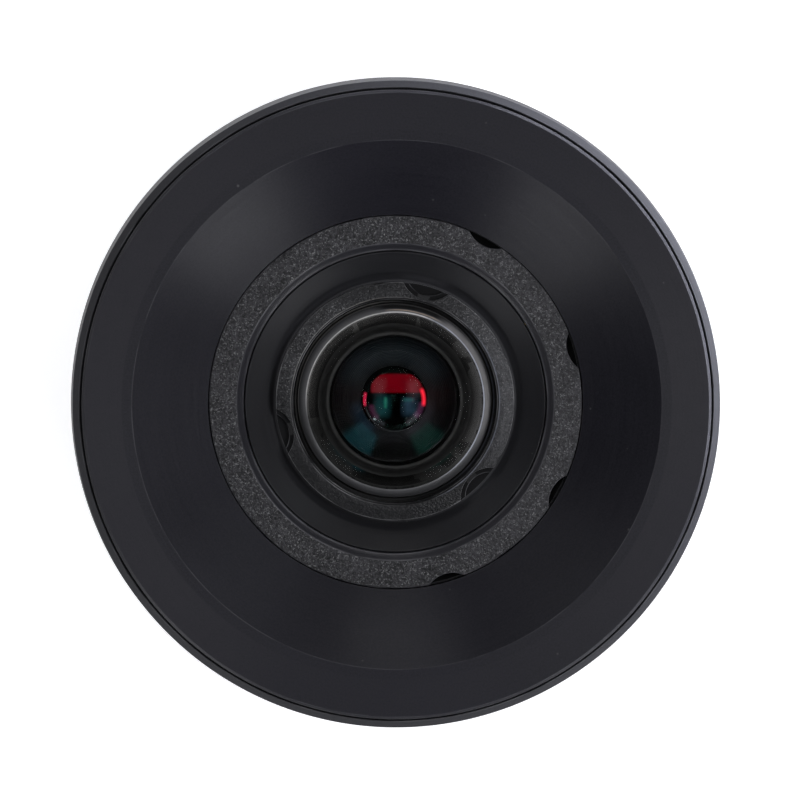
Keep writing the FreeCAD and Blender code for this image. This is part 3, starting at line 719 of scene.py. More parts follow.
ringShape = Facts(
    boreGap=0.035, collarRadius=11.72, bevelWidth=0.48, bevelDepth=0.5,
    edgeRound=0.07, collarHeight=2.08, scallops=4, scallopFirst=61.05,
    scallopPitch=45, scallopRadius=1.87, scallopBite=0.46, scallopFloor=0.28,
    grainCell=0.095, grainDepth=0.028, grainSeed=3, columns=1680, topRows=30,
    lip=((0.004, 0.47), (0.02, 0.44), (0.05, 0.415)),      # how far out and down
)
ringLook = changed(
    grainedLook, dark=(0.006, 0.006, 0.007), light=(0.036, 0.035, 0.04), grains=7500,
    smoothColor=(0.022, 0.0215, 0.026), wallRough=0.34, grainFloor=13.55,
    wearColor=(0.11, 0.11, 0.12), smooth=0.22, rough=0.48, specular=0.35, lines=8000, depth=8e-5,
    patches=[
        # painted highlight at the right, painted shade at the left
        fan((0.06, 0.059, 0.064), 5, 62, 9.2, 11.8, 0.1, 0.2, 0.17),
        fan((0.004, 0.004, 0.005), 190, 80, 9.2, 11.8, 0.1, 0.2, 0.15),
    ],
)
# Near-black finish for the floors and walls of the deep cuts: smooth unground metal, painted
# darker as painted shade
notchShadeLook = changed(
    turnedLook, dark=(0.0035, 0.0035, 0.004), light=(0.006, 0.006, 0.007),
    streak=0.2, streakColor=(0.008, 0.008, 0.009), wear=0.8, wearColor=(0.16, 0.16, 0.17),
    dustSize=1800, smooth=0.5, rough=0.62, specular=0.12, gritShare=0.9,
)


def makeFocusRing():
    flange, top, bottom = extents("focus_ring")
    shape = ringShape
    bore = extents("lens_carrier")[0] + shape.boreGap
    collar, edge, radius = shape.collarRadius, shape.edgeRound, shape.scallopRadius
    flangeTop = top - shape.collarHeight
    centre = collar - shape.scallopBite + radius
    places = [math.radians(shape.scallopFirst - i * shape.scallopPitch)
              for i in range(shape.scallops)]
    angles = anglesWithCorners(shape.columns, places, [circleReach(centre, collar, radius)])
    limit = cutLimit(angles, places, centre, radius, collar)

    # From the bore over the face to the flange
    rows, keep = rowKeeper(angles)
    for z in np.linspace(bottom, top - shape.bevelDepth, 6):
        keep(bore, z)
    for along, down in shape.lip:
        keep(bore + along, top - down)
    for share in (0.25, 0.5, 0.75, 0.96):
        keep(bore + share * shape.bevelWidth, top - shape.bevelDepth * (1 - share))
    fixed = collar - shape.scallopBite - 0.35      # rows inside this radius stay round
    for reach in np.linspace(bore + shape.bevelWidth + 0.01, collar - edge, shape.topRows):
        if reach > fixed:
            reach = fixed + (reach - fixed) * (limit - edge - fixed) / (collar - edge - fixed)
        keep(reach, top - grainRelief(shape, reach, angles))
    for turn in np.arange(1, 5) * math.pi / 8:
        keep(limit - edge + edge * math.sin(turn),
             top - shape.grainDepth * 0.5 - edge * (1 - math.cos(turn)))
    floor = flangeTop + shape.scallopFloor
    for z in np.linspace(top - 0.3, floor, 5):
        keep(limit, z)
    keep(np.where(limit < collar - 0.03, collar - 0.03, limit), floor)
    rest = [
        (collar, floor), (collar, flangeTop), (0.5 * (collar + flange), flangeTop),
        (flange - 0.05, flangeTop), (flange, flangeTop - 0.05), (flange, bottom + 0.05),
        (flange - 0.05, bottom), (0.5 * (bore + flange), bottom),
    ]
    for reach, z in rest:
        keep(reach, z)
    grain = makeGrainFinish("ringGrain", ringLook)
    recessShade = makeTurnedFinish("scallopShade", notchShadeLook)
    piece = gridPiece("focusRing", rows, angles, [grain, recessShade], sharp=50)
    # the scallops' walls and floors take the near-black finish as painted shade
    paintBand(piece, 1, fixed, collar - 0.02, flangeTop + 0.05, top - 0.45)
    settle(piece, "focus_ring", "focus")


# Lens carrier: smooth dished ring

carrierShape = Facts(
    edge=0.1, coveDepth=1.45, coveRound=2.1, coveLand=0.12, wellGap=0.03,
    boreStep=0.05, wall=1.05, webDrop=5.44, webBore=6.2, webTop=4.3, columns=384,
)
carrierLook = changed(
    turnedLook, dark=(0.01, 0.01, 0.0118), light=(0.0142, 0.0142, 0.0168),
    streakColor=(0.018, 0.018, 0.021), turned=0.4, wearColor=(0.1, 0.1, 0.105), dustSize=1400,
    smooth=0.4, rough=0.5, specular=0.32, grit=18000, depth=3.5e-6,
    patches=[
        # painted light towards the foot of the dish against the shade there, most of all on its
        # upper side, and painted shade at the lower left
        ring((0.034, 0.034, 0.038), 7, 8, 0.45, 0.1, 0.8),
        fan((0.038, 0.038, 0.043), 85, 75, 7, 8.1, 0.45, 0.1),
        fan((0.004, 0.004, 0.005), 225, 62, 7.3, 9.6, 0.3, 0.2, 0.36),
    ],
)


def makeLensCarrier():
    outer, top, bottom = extents("lens_carrier")
    shape = carrierShape
    edge = shape.edge
    well = extents("front_retaining_ring")[0] + shape.wellGap
    bore, wall = well - shape.boreStep, outer - shape.wall
    floor, web, webTop = (top - shape[name] for name in ("coveDepth", "webDrop", "webTop"))
    corners = [
        (outer - edge, top, 0.02), (outer, top - edge, 0.02), (outer, bottom), (wall, bottom),
        (wall, web, 0.4), (shape.webBore, web), (shape.webBore, webTop), (bore, webTop),
        (bore, floor), (well, floor), (well + shape.coveLand, floor, shape.coveRound),
    ]
    outline = smoothOutline(corners, roundSteps=14)
    finish = makeTurnedFinish("carrierBlack", carrierLook)
    piece = turnedPiece("lensCarrier", outline, shape.columns, [finish])
    settle(piece, "lens_carrier", "optics")


# Front retaining ring: grained, sloping outwards, with three stepped notches

retainerShape = Facts(
    bore=6.42, boreChamfer=0.16, crownWidth=0.43, slope=0.2, edgeRound=0.07,
    headHeight=0.97, thread=6.92, notches=3, notchFirst=74.8, notchRadius=1.87,
    notchBite=0.85, notchDepth=0.65, notchStep=0.3, stepDepth=0.34,
    grainCell=0.085, grainDepth=0.022, grainSeed=5, columns=1440, topRows=30,
)
retainerLook = changed(
    grainedLook, dark=(0.005, 0.005, 0.006), light=(0.03, 0.03, 0.033), grains=8000,
    smoothColor=(0.01, 0.01, 0.011), wallRough=0.36, grainFloor=12.39,
    wearColor=(0.3, 0.3, 0.31), smooth=0.2, rough=0.4, specular=0.36, lines=9000, depth=6e-5,
    patches=[
        # painted shade below and above, a painted highlight at the right, and two painted
        # highlight lines at the bore
        fan((0.003, 0.003, 0.004), 265, 82, 6.45, 7.6, 0.05, 0.1, 0.94),
        fan((0.003, 0.003, 0.004), 85, 32, 6.45, 7.6, 0.05, 0.2, 0.72),
        fan((0.095, 0.095, 0.105), 5, 38, 6.45, 7.6, 0.05, 0.3, 0.24),
        fan((0.12, 0.13, 0.165), 350, 48, 6.52, 6.62, 0.03, 0.7),
        fan((0.1, 0.095, 0.088), 135, 48, 6.52, 6.61, 0.03, 0.7),
    ],
)


def makeRetainingRing():
    outer, top, bottom = extents("front_retaining_ring")
    shape = retainerShape
    bore, chamfer, thread = shape.bore, shape.boreChamfer, shape.thread
    crown = bore + shape.crownWidth
    depths = (shape.headHeight, shape.stepDepth, shape.notchDepth)
    base, stepFloor, notchFloor = (top - depth for depth in depths)
    cutters = (shape.notchRadius, shape.notchRadius - shape.notchStep)
    circle = outer - shape.notchBite + shape.notchRadius
    places = [math.radians(shape.notchFirst + 360 * i / shape.notches)
              for i in range(shape.notches)]
    reaches = [circleReach(circle, outer, cut) for cut in cutters]
    angles = anglesWithCorners(shape.columns, places, reaches)
    upper, lower = (cutLimit(angles, places, circle, cut, outer) for cut in cutters)
    edge = np.where(upper > outer - 1e-6, shape.edgeRound, 0.03)

    def face(radius):
        run = np.clip((radius - crown) / (outer - crown), 0, 1)
        return top - shape.slope * run ** 1.2

    rows, keep = rowKeeper(angles)
    for z in np.linspace(bottom, top - chamfer - 0.02, 6):
        keep(bore, z)
    for along, down in ((0.01, chamfer - 0.01), (0.05, chamfer - 0.05), (chamfer - 0.05, 0.05),
                        (chamfer - 0.01, 0.012)):
        keep(bore + along, top - down)
    fixed = bore + chamfer + 0.02
    for share in np.linspace(0, 1, shape.topRows):
        reach = fixed + share * (upper - edge - fixed)
        keep(reach, face(reach) - grainRelief(shape, reach, angles))
    middle = face(upper - edge) - 0.5 * shape.grainDepth
    for turn in np.arange(1, 5) * math.pi / 8:
        keep(upper - edge + edge * math.sin(turn), middle - edge * (1 - math.cos(turn)))
    bevel = np.where(lower < outer - 1e-6, 0.03, 0)
    stepInner = np.where(upper < outer - 0.08, np.maximum(lower - bevel - 0.04, upper), lower)
    for reach, drop in ((upper, 0.001), (stepInner, 0.0015), (lower - bevel, 0.002)):
        keep(reach, np.minimum(middle - edge - drop, stepFloor))
    keep(lower, stepFloor - bevel - 0.003)
    keep(lower, notchFloor)
    keep(np.where(lower < outer - 0.03, outer - 0.03, lower), notchFloor)
    for reach, z in ((outer, notchFloor), (outer, base), (thread, base), (thread, bottom)):
        keep(reach, z)
    grain = makeGrainFinish("retainerGrain", retainerLook)
    recessShade = makeTurnedFinish("notchShade", notchShadeLook)
    piece = gridPiece("retainingRing", rows, angles, [grain, recessShade], sharp=50)
    # the notch floors and steps take the near-black finish as painted shade
    paintBand(piece, 1, bore + 0.4, outer + 0.1, notchFloor - 0.02, stepFloor + 0.02)
    settle(piece, "front_retaining_ring", "optics")


# Glass and what shows through it

glassShape = Facts(
    radius=6.06, bevelWidth=0.5, bevelRise=0.42, bevelBulge=0.05, polished=0.01,
    domeDrop=1.1, shoulderShare=0.38,      # how much of the drop lies near the dome's edge
    hollowRadius=4.3, hollowDepth=2.25, hollowChamfer=0.13, clearRadius=3.82, columns=256,
)
glassLook = Facts(
    tint=(0.97, 0.985, 0.98), ior=1.52, coating=grey(0),
    # the bevel is painted paler towards its inner edge, as a painted highlight
    bevelInner=(0.12, 0.12, 0.125), bevelOuter=(0.068, 0.068, 0.072), bevelRough=0.36,
    seatInner=grey(0.01), seatOuter=grey(0.02), seatRough=0.5,
    bevelPatches=[
        # painted highlight on the right side and painted shade on the lower side
        fan((0.2, 0.195, 0.195), 20, 40, 5.6, 6.02, 0.12, 0.35),
        fan((0.05, 0.05, 0.053), 255, 62, 5.6, 6.06, 0.1, 0.2),
        # the polished line where the dome begins, painted with highlights along it at the right
        # and left
        ring((0.1, 0.1, 0.105), 5.55, 5.64, 0.03, 0.5),
        fan((0.36, 0.38, 0.44), 8, 56, 5.55, 5.66, 0.03, 0.3),
        fan((0.54, 0.53, 0.52), 138, 42, 5.55, 5.65, 0.03, 0.35),
        # painted reflection of the window at the top, with a painted dark stretch beyond it
        fan(grey(0.012), 80, 20, 5.8, 6.07, 0.05, 0.1),
        fan((0.62, 0.6, 0.6), 82, 14.5, 5.56, 5.66, 0.02, 0.15),
        fan((0.4, 0.31, 0.24), 78, 15, 5.71, 5.79, 0.02, 0.4),
    ],
    seatPatches=[
        # painted glow standing in for light carried in the glass: the rim of the clear hollow, and
        # the paler ground ring outside it
        ring(grey(0.03), 3.86, 4.06, 0.09, 0.4),
        ring(grey(0.0045), 4, 4.5, 0.05, 0.3),
        ring(grey(0.015), 4.25, 6.3, 0.5, 0.15),
        fan((0.085, 0.083, 0.082), 144, 42, 4.42, 6.3, 0.5, 0.15),
        fan((0.05, 0.049, 0.05), 30, 75, 4.4, 6.3, 0.5, 0.15),
    ],
)


def makeGlassMaterial(name, tint, ior=1.52, coating=grey(1)):
    # The coating is what the glass sends back at its front, as a share of bare glass
    material, shader, where = startMaterial(name, roughness=0, ior=ior)
    haze = ranged(noise(where, 700, 3), 0.35, 0.65)
    color = blended(haze, tint, tuple(0.985 * value for value in tint))
    fill(shader, {"Transmission Weight": 1, "Specular Tint": coating, "Base Color": color})
    return material, shader, where


def makeGroundGlass(name, innerColor, outerColor, inner, outer, roughness, patches=()):
    # Ground glass that pales or darkens with the distance from the axis
    material, shader, where = startMaterial(name, specular=0.4)
    marks = placeGroup(turningMarks, where, 5200)
    flat = vectorMaths("MULTIPLY", where, (1 / mm, 1 / mm, 0))[0]
    reach = vectorMaths("LENGTH", flat)["Value"]
    color = blended(ranged(reach, inner, outer), innerColor, outerColor)
    cloud = noise(where, 420, 4)
    color = blended(ranged(cloud, 0.3, 0.75, 0, 0.35), color, grey(0.02))
    rough = ranged(marks["Streak"], 0, 1, roughness, roughness + 0.08)
    color = paintIn(color, where, patches)
    dress(shader, color, rough, plus(marks["Height"], noise(where, 21000)), 3e-6)
    return material, shader, where


def sphereRows(aperture, rise, rimZ, outward, rows):
    # (radius, z) points from the axis to the rim of a spherical glass surface
    radius = (aperture ** 2 + rise ** 2) / (2 * abs(rise))
    reach = np.linspace(0, aperture, rows)
    sag = radius - np.sqrt(radius ** 2 - reach ** 2)
    apex = rimZ + outward * rise
    return [(r, apex - outward * math.copysign(s, rise)) for r, s in zip(reach, sag)]


def makeFrontElement():
    rim, apex, seat = extents("front_element")
    shape, look = glassShape, glassLook
    radius, hollow, drop = shape.radius, shape.hollowRadius, shape.domeDrop
    domeEdge = radius - shape.bevelWidth
    rimTop = extents("front_seal")[2]
    edgeZ = apex - drop
    late = shape.shoulderShare
    points = []
    for t in np.linspace(0, 1, 64):
        points.append((t * domeEdge, apex - drop * ((1 - late) * t ** 2 + late * t ** 6)))
    for share in np.linspace(0, 1, 11)[1:]:
        z = edgeZ - share * shape.bevelRise + shape.bevelBulge * math.sin(math.pi * share)
        points.append((domeEdge + share * shape.bevelWidth, z))
    points += [
        (radius, edgeZ - shape.bevelRise - 0.02), (radius, rimTop), (rim, rimTop), (rim, seat),
        (hollow + shape.hollowChamfer, seat), (hollow, seat + 0.06),
    ]
    inside = sphereRows(hollow, -shape.hollowDepth, seat, -1, 40)[::-1]
    points += [(r, z) for r, z in inside if z > seat + 0.09]
    clear = makeGlassMaterial("frontGlass", look.tint, look.ior, look.coating)[0]
    # the bevel's colour carries painted highlights and painted shade
    bevel = makeGroundGlass("groundBevel", look.bevelInner, look.bevelOuter, domeEdge, radius,
                            look.bevelRough, look.bevelPatches)[0]
    ground, *nodes = makeGroundGlass("groundSeat", look.seatInner, look.seatOuter, hollow,
                                     domeEdge, look.seatRough)
    # painted glow on the ground seat, as light carried in the glass
    paintGlowIn(*nodes, look.seatPatches)
    piece = turnedPiece("frontElement", points, shape.columns, [clear, bevel, ground], False, 24)
    paintBand(piece, 1, domeEdge + shape.polished, rim + 0.1, rimTop + 0.01, apex)
    paintBand(piece, 2, hollow + 0.01, rim + 0.1, seat - 1, rimTop + 0.005)
    paintBand(piece, 2, shape.clearRadius, hollow + 0.02, seat - 1, seat + 1.2)
    settle(piece, "front_element", "optics")


sealLook = changed(
    turnedLook, dark=grey(0.006), light=grey(0.012), streak=0.2, streakColor=grey(0.014),
    lines=6000, wear=0.2, wearColor=grey(0.03),
    dust=0.4, dustColor=grey(0.1), dustSize=1600, dustShare=0.1,
    smooth=0.6, rough=0.75, specular=0.3, grit=12000, gritShare=1, depth=6e-6,
    patches=[
        # the moulded line on the seal's top, with painted highlights on it at the left and right
        ring((0.035, 0.035, 0.037), 6.2, 6.29, 0.03, 0.5),
        fan((0.19, 0.185, 0.175), 142, 46, 6.2, 6.3, 0.03, 0.4),
        fan((0.11, 0.12, 0.155), 352, 44, 6.2, 6.3, 0.03, 0.5),
    ],
)


def makeFrontSeal():
    outer, top, bottom = extents("front_seal")
    inner = glassShape.radius + 0.04
    corners = [(inner, bottom), (outer, bottom, 0.04), (outer, top, 0.06), (inner, top, 0.12)]
    finish = makeTurnedFinish("sealRubber", sealLook)
    piece = turnedPiece("frontSeal", smoothOutline(corners, step=0.1), 192, [finish])
    settle(piece, "front_seal", "optics")


spacerShape = Facts(mouth=4.45, throat=2.84, steps=20, columns=256)
spacerLook = changed(
    turnedLook, dark=(0.004, 0.004, 0.005), light=(0.007, 0.007, 0.008),
    streak=0.4, streakColor=(0.01, 0.01, 0.011), lines=5000, wear=0.25, wearColor=grey(0.03),
    dust=0.5, dustSize=2000, dustShare=0.12, smooth=0.45, rough=0.6, specular=0.25, grit=15000,
)
spacerPaintedGlow = [
    # painted reflections: teal and green windows below, fainter painted light round them and above
    fan((0.002, 0.022, 0.028), 230, 15, 3.2, 4.62, 0.14, 0.5),
    fan((0.002, 0.008, 0.016), 212, 24, 2.6, 3.7, 0.6, 0.4),
    fan((0.003, 0.018, 0.014), 309, 15, 3.2, 4.62, 0.14, 0.5),
    fan((0.016, 0.014, 0.018), 322, 30, 2.6, 3.5, 0.5, 0.5),
    fan((0.0025, 0.005, 0.0065), 90, 62, 2.8, 4.4, 0.6, 0.4),
    fan((0.0045, 0.005, 0.006), 270, 40, 2.4, 3.6, 0.7, 0.3),
    fan((0.01, 0.0102, 0.011), 90, 44, 3.62, 3.76, 0.06, 0.6),
]


def makeFrontSpacer():
    outer, top, bottom = extents("front_spacer")
    shape = spacerShape
    throat = shape.throat
    corners = [(outer, top), (outer, bottom), (throat, bottom)]
    rise = (top - bottom) / shape.steps
    run = (shape.mouth - throat) / shape.steps
    for i in range(shape.steps):
        z = bottom + (i + 1) * rise
        corners += [(throat + i * run, z, 0.02), (throat + (i + 1) * run, z, 0.01)]
    # painted reflections on the spacer, as glow
    finish = makeTurnedFinish("spacerBlack", changed(spacerLook, glow=spacerPaintedGlow))
    outline = smoothOutline(corners, roundSteps=3)
    piece = turnedPiece("frontSpacer", outline, shape.columns, [finish])
    settle(piece, "front_spacer", "optics")


secondShape = Facts(
    edgeHeight=0.9, aperture=2.78, rise=1.2, hollow=1.9, hollowRise=0.8, columns=192,
)
secondLook = Facts(
    facts=((0.92, 0.97, 0.95), 1.6, grey(0)), shift=(0.22, -0.16),      # tint, index, coating
    glow=[
        # painted reflection: the broad red band, greyer towards its two ends
        pane((0.12, 0.0005, 0.004), 0, 1.46, 2.1, 0.76, 0.09, 0.12, 2.6),
        pane((0.012, 0.016, 0.018), -1.4, 1.15, 0.45, 0.66, 0.28, 0.3, 2.6),
        pane((0.026, 0.022, 0.026), 1.38, 1, 0.45, 0.66, 0.28, 0.3, 2.6),
        # painted highlights: bright slivers at both edges
        fan((1, 0.02, 0.045), 8, 17, 2.02, 2.58, 0.24, 0.05),
        fan((0.5, 0.008, 0.045), 177, 11, 2.5, 2.88, 0.12, 0.1),
        # painted reflections of the windows in the lower half
        pane((0.006, 0.042, 0.046), -1.18, -0.42, 0.52, 0.74, 0.32, 0.45),
        pane((0.01, 0.1, 0.058), -0.92, -0.12, 0.1, 0.42, 0.1, 0.3),
        pane((0.016, 0.036, 0.058), 1.06, -0.46, 0.54, 0.62, 0.32, 0.4),
        pane((0.008, 0.05, 0.044), 0.94, 0.12, 0.46, 0.12, 0.12, 0.4),
        # painted purple and grey light along the lower rim
        fan((0.05, 0.01, 0.03), 205, 16, 1.75, 2.5, 0.34, 0.35),
        fan((0.06, 0.014, 0.044), 338, 18, 1.65, 2.5, 0.34, 0.35),
        fan((0.04, 0.04, 0.046), 312, 17, 1.6, 2.45, 0.42, 0.4),
        fan((0.026, 0.027, 0.032), 228, 14, 1.9, 2.55, 0.3, 0.5),
        fan((0.034, 0.035, 0.04), 268, 75, 2.54, 2.72, 0.08, 0.5),
        pane((0.34, 0.42, 0.44), -1.86, -1.52, 0.09, 0.07, 0.06, 0.2),
    ],
)


def makeSecondElement():
    rim, bottom = extents("second_element")[::2]
    shape, look = secondShape, secondLook
    top = bottom + shape.edgeHeight
    points = sphereRows(shape.aperture, shape.rise, top, 1, 52)
    points += [(rim, top), (rim, bottom)]
    points += sphereRows(shape.hollow, -shape.hollowRise, bottom, -1, 32)[::-1]
    finish, *nodes = makeGlassMaterial("secondGlass", *look.facts)
    # painted reflections on the ball, as glow
    paintGlowIn(*nodes, look.glow, look.shift)
    plain = makeGlassMaterial("secondGlassRear", *look.facts)[0]
    piece = turnedPiece("secondElement", points, shape.columns, [finish, plain], False, 24)
    paintBand(piece, 1, -1, rim + 0.1, bottom - 1, top - 0.01)
    settle(piece, "second_element", "optics")


# Mounting stem with its thread

stemShape = Facts(
    crest=6, root=5.73, pitch=0.5, runout=0.6, fade=0.25, leadStep=0.02,
    bore=5, register=6.5, flangeHeight=1, columns=180, rowsPerPitch=12,
)
stemLook = changed(
    turnedLook, dark=(0.017, 0.017, 0.018), light=(0.026, 0.026, 0.028),
    streak=0.4, streakColor=(0.04, 0.04, 0.042), lines=6000, wear=0.45,
    wearColor=(0.22, 0.215, 0.2), dustColor=grey(0.15), smooth=0.34, rough=0.46, specular=0.35,
    gritShare=0.7,
)


def makeThreadedStem():
    flange, flangeTop, bottom = extents("mount_stem")
    shape = stemShape
    crest, root, pitch, bore = (shape[name] for name in ("crest", "root", "pitch", "bore"))
    angles = evenAngles(shape.columns)
    rows, keep = rowKeeper(angles)
    threadTop, leadRadius = -shape.runout, root - shape.leadStep
    for z in (flangeTop, flangeTop - 2, 0, bottom + 2, bottom + 0.05):
        keep(bore, z)
    keep(bore + 0.05, bottom)
    keep(leadRadius, bottom)
    count = round((threadTop - bottom) / pitch * shape.rowsPerPitch)
    for z in np.linspace(bottom, threadTop, count):
        phase = (z / pitch - angles / fullTurn) % 1
        tooth = np.clip(1.35 - np.abs(phase - 0.5) * 3.1, 0, 1)      # flat crest, 60 degree flanks
        tooth = tooth * tooth * (3 - 2 * tooth)
        radius = np.minimum(root + (crest - root) * tooth, leadRadius + (z - bottom))
        keep(root + (radius - root) * np.clip((threadTop - z) / shape.fade, 0, 1), z)
    ledge = flangeTop - shape.flangeHeight
    rest = [
        (root, threadTop + 0.05), (crest, threadTop + crest - root), (crest, 0),
        (shape.register, 0), (shape.register, ledge), (flange, ledge), (flange, flangeTop),
    ]
    for radius, z in rest:
        keep(radius, z)
    finish = makeTurnedFinish("stemBlack", stemLook)
    piece = gridPiece("threadedStem", rows, angles, [finish], sharp=40)
    settle(piece, "mount_stem", "housing")


# Finishes of the pieces that keep their shape from the build

def makeScrewSteel():
    material, shader, where = startMaterial("screwSteel", metallic=1)
    cloud = noise(where, 900, 4)
    color = blended(ranged(cloud, 0.35, 0.65), (0.05, 0.05, 0.052), (0.085, 0.085, 0.09))
    color = blended(placeWearAndSheen(where, True, 900), color, (0.45, 0.44, 0.42))
    rough = ranged(cloud, 0.3, 0.7, 0.28, 0.42)
    dress(shader, color, rough, noise(where, 9000), 3e-6)
    return material


def makeBrightMetal(name, dark, light, roughLow, roughHigh):
    material, shader, where = startMaterial(name, metallic=1)
    marks = placeGroup(turningMarks, where, 5000)
    color = blended(ranged(noise(where, 600, 3), 0.3, 0.7), dark, light)
    rough = ranged(marks["Streak"], 0, 1, roughLow, roughHigh)
    dress(shader, color, rough, marks["Height"], 2e-6)
    return material


def makeWasherWhite():
    material, shader, where = startMaterial("washerWhite", specular=0.4)
    cloud = noise(where, 500, 4)
    color = blended(ranged(cloud, 0.3, 0.7), (0.62, 0.61, 0.58), (0.74, 0.73, 0.7))
    rough = ranged(cloud, 0.3, 0.7, 0.45, 0.6)
    dress(shader, color, rough, noise(where, 7000), 3e-6)
    return material


def builtFinish(name, look, **values):
    return makeTurnedFinish(name, changed(look, built=True, patches=(), **values))


def dressBuiltPieces():
    steel = makeBrightMetal("pinSteel", (0.42, 0.42, 0.43), (0.55, 0.55, 0.56), 0.2, 0.34)
    spring = makeBrightMetal("springSteel", (0.36, 0.36, 0.37), (0.5, 0.5, 0.5), 0.25, 0.4)
    brass = makeBrightMetal("pinBrass", (0.52, 0.37, 0.13), (0.68, 0.5, 0.2), 0.22, 0.36)
    inner = makeGlassMaterial("innerGlass", (0.74, 0.8, 0.78), 1.6, (0.002, 0.006, 0.005))[0]
    tinted = makeGlassMaterial("filterGlass", (0.42, 0.62, 0.62), 1.52, (0.6, 0.2, 0.25))[0]
    groups = [
        (builtFinish("housingBlack", sleeveLook, lines=4200, smooth=0.34, rough=0.48),
         "rear_housing"),
        (builtFinish("barrelBlack", carrierLook, lines=6500, smooth=0.32, rough=0.45),
         "lens_barrel", "barrel_lock_ring", "rear_retaining_ring"),
        (builtFinish("stopBlack", spacerLook, wear=0.3),
         "stop_front_spacer", "aperture_stop", "stop_rear_spacer", "rear_spacer"),
        (builtFinish("ringRubber", sealLook, dustShare=0.05), "bezel_o_ring"),
        (makeScrewSteel(), "housing_screws"), (makeWasherWhite(), "thrust_washer"),
        (steel, "stop_pin", "guide_pins"), (spring, "wave_washer"), (brass, "follower_pins"),
        (inner, "third_element", "doublet_crown", "doublet_flint", "rear_element"),
        (tinted, "ir_cut_filter"),
    ]
    for material, *nodes in groups:
        for node in nodes:
            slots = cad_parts[node].material_slots
            for slot in slots:
                slot.material = material
            if not slots:
                print("no material slot on", node)


makeHoodBezel()
makeOuterSleeve()
makeFocusRing()
makeLensCarrier()
makeRetainingRing()
makeFrontSeal()
makeFrontElement()
makeFrontSpacer()
makeSecondElement()
print("front pieces made")
makeThreadedStem()
dressBuiltPieces()
print("stem made, the other pieces dressed")


# Stage: camera, floor, backdrop and lamps

def matrixFromAxes(x, y, z):
    return Matrix((x, y, z)).transposed()


cameraSetup = Facts(
    distance=0.8,
    frameWidth=0.04997,        # what the frame spans at the hood's front face
    tiltLeft=1.1,              # degrees the camera stands off the optical axis
    tiltUp=2.4,
    aim=(0.2 * mm, 0.313 * mm),
    filmWidth=36,
)


def placeCamera():
    setup = cameraSetup
    aim = Vector((*setup.aim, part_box("hood_bezel")[1][2]))
    left, up = (math.tan(math.radians(setup[name])) for name in ("tiltLeft", "tiltUp"))
    lean = Vector((-left, up, 1)).normalized()
    data = bpy.data.cameras.new("photoCamera")
    data.sensor_width = setup.filmWidth
    data.lens = data.sensor_width * setup.distance / setup.frameWidth
    data.clip_start = 0.01
    data.clip_end = 20
    camera = bpy.data.objects.new("photoCamera", data)
    camera.location = aim + lean * setup.distance
    sideways = Vector((0, 1, 0)).cross(lean).normalized()
    camera.rotation_euler = matrixFromAxes(sideways, lean.cross(sideways), lean).to_euler()
    scene.collection.objects.link(camera)
    scene.camera = camera


coolWhite = (0.955, 0.965, 1)
lamps = {
    # azimuth and off-axis angle in degrees, distance, width and height in metres, watts, colour
    "frontFill": (90, 10, 0.5, 0.2, 0.2, 0.24, coolWhite),
    "rightKey": (0, 36, 0.5, 0.22, 0.16, 0.76, coolWhite),
    "upperRight": (45, 56, 0.5, 0.22, 0.16, 0.31, (0.92, 0.95, 1)),
    "topStrip": (82, 60, 0.5, 0.3, 0.08, 0.12, (1, 0.97, 0.92)),
    "upperLeft": (135, 46, 0.5, 0.22, 0.26, 0.34, coolWhite),
    "lowerLeft": (228, 56, 0.5, 0.28, 0.16, 0.49, coolWhite),
    "lowerRight": (312, 56, 0.5, 0.28, 0.16, 0.55, coolWhite),
    "topLow": (90, 80, 0.5, 0.22, 0.1, 0.23, coolWhite),
    "leftLow": (230, 80, 0.5, 0.22, 0.1, 0.35, coolWhite),
    "rightLow": (312, 80, 0.5, 0.22, 0.1, 0.48, coolWhite),
    # stands below the hood's front, so it lights the outer wall alone
    "wallStrip": (28, 91, 0.3, 0.56, 0.016, 3.3, (0.84, 0.86, 1)),
}


def hideFromGlass(data):
    # Polished glass mirrors the room but not the lamps, as behind a polarising filter
    data.use_nodes = True
    tree = data.node_tree
    mirrored = addNode(tree, "LightPath").outputs["Is Singular Ray"]
    feed(minus(1, mirrored), tree.nodes["Emission"].inputs["Strength"])


def placeLamps():
    middle = Vector((0, 0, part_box("hood_bezel")[0][2]))
    for name, (azimuth, offAxis, distance, width, height, power, color) in lamps.items():
        azimuth, offAxis = math.radians(azimuth), math.radians(offAxis)
        side = Vector((math.cos(azimuth), math.sin(azimuth), 0))
        away = side * math.sin(offAxis) + Vector((0, 0, math.cos(offAxis)))
        data = bpy.data.lights.new(name, "AREA")
        data.shape = "RECTANGLE"
        data.size, data.size_y = width, height
        data.energy = power
        data.color = color
        hideFromGlass(data)
        lamp = bpy.data.objects.new(name, data)
        lamp.location = middle + away * distance
        across = Vector((-side.y, side.x, 0))
        lamp.rotation_euler = matrixFromAxes(across, away.cross(across), away).to_euler()
        lamp.visible_camera = False
        scene.collection.objects.link(lamp)


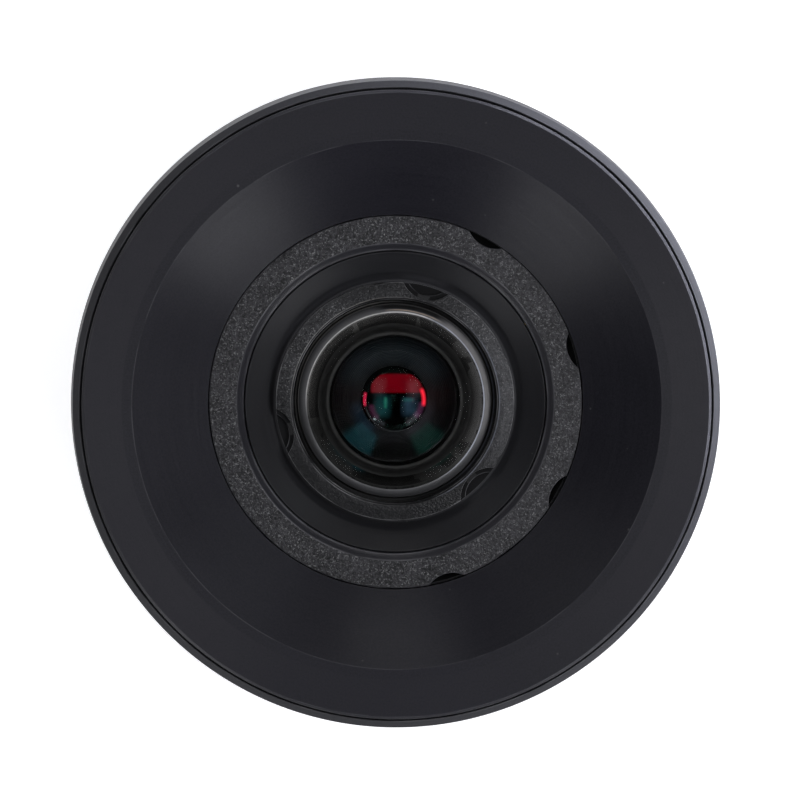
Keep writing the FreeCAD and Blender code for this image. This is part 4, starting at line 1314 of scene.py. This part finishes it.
backdrop = Facts(
    floorColor=(0.86, 0.86, 0.865),
    floorGlow=0.6,            # seen by the camera, glossy and transmission rays only
    floorRadius=2.5,
    floorGap=0.05 * mm,
    skyLight=0.12,
    horizonGlow=0.9,           # backdrop behind the table, as gloss sees it
    horizonFoot=0.02,
    horizonTop=0.09,
    ceilingGlow=0.01,
)


def makeFloor():
    bpy.ops.mesh.primitive_circle_add(vertices=96, radius=backdrop.floorRadius, fill_type="NGON")
    floor = bpy.context.object
    floor.name = "paleFloor"
    floor.location.z = cadBox[0][2] - backdrop.floorGap
    material, shader, where = startMaterial("paleFloor", roughness=0.9, specular=0.1)
    tree = where.id_data
    path = addNode(tree, "LightPath").outputs
    seen = maths("MAXIMUM", path["Is Camera Ray"], path["Is Transmission Ray"])
    seen = maths("MAXIMUM", seen, path["Is Glossy Ray"])
    fill(shader, {"Base Color": backdrop.floorColor, "Emission Color": grey(1),
                  "Emission Strength": times(seen, backdrop.floorGlow)})
    # no floor when looked at from below
    behind = addNode(tree, "NewGeometry").outputs["Backfacing"]
    clear = addNode(tree, "BsdfTransparent").outputs[0]
    surface = mixedShader(behind, shader.outputs[0], clear)
    feed(surface, tree.nodes["Material Output"].inputs["Surface"])
    floor.data.materials.append(material)


def makeRoom():
    world = bpy.data.worlds.new("softStudio")
    scene.world = world
    world.use_nodes = True
    tree = world.node_tree
    tree.nodes.clear()
    up = split(addNode(tree, "TexCoord").outputs["Generated"])["Z"]
    height = addNode(tree, "MapRange", interpolation_type="SMOOTHSTEP")
    fill(height, {"Value": up, "From Min": backdrop.horizonFoot, "From Max": backdrop.horizonTop,
                  "To Min": backdrop.horizonGlow, "To Max": backdrop.ceilingGlow})

    def light(strength):
        node = addNode(tree, "Background")
        feed(strength, node.inputs["Strength"])
        return node.outputs[0]

    path = addNode(tree, "LightPath").outputs
    # what gloss and glass see, what lights the matt surfaces, and what the camera sees
    lit = mixedShader(path["Is Diffuse Ray"], light(height.outputs[0]), light(backdrop.skyLight))
    seen = mixedShader(path["Is Camera Ray"], lit, light(1))
    feed(seen, addNode(tree, "OutputWorld").inputs["Surface"])


scene.view_settings.view_transform = "Standard"
placeCamera()
placeLamps()
makeFloor()
makeRoom()
print("stage set")
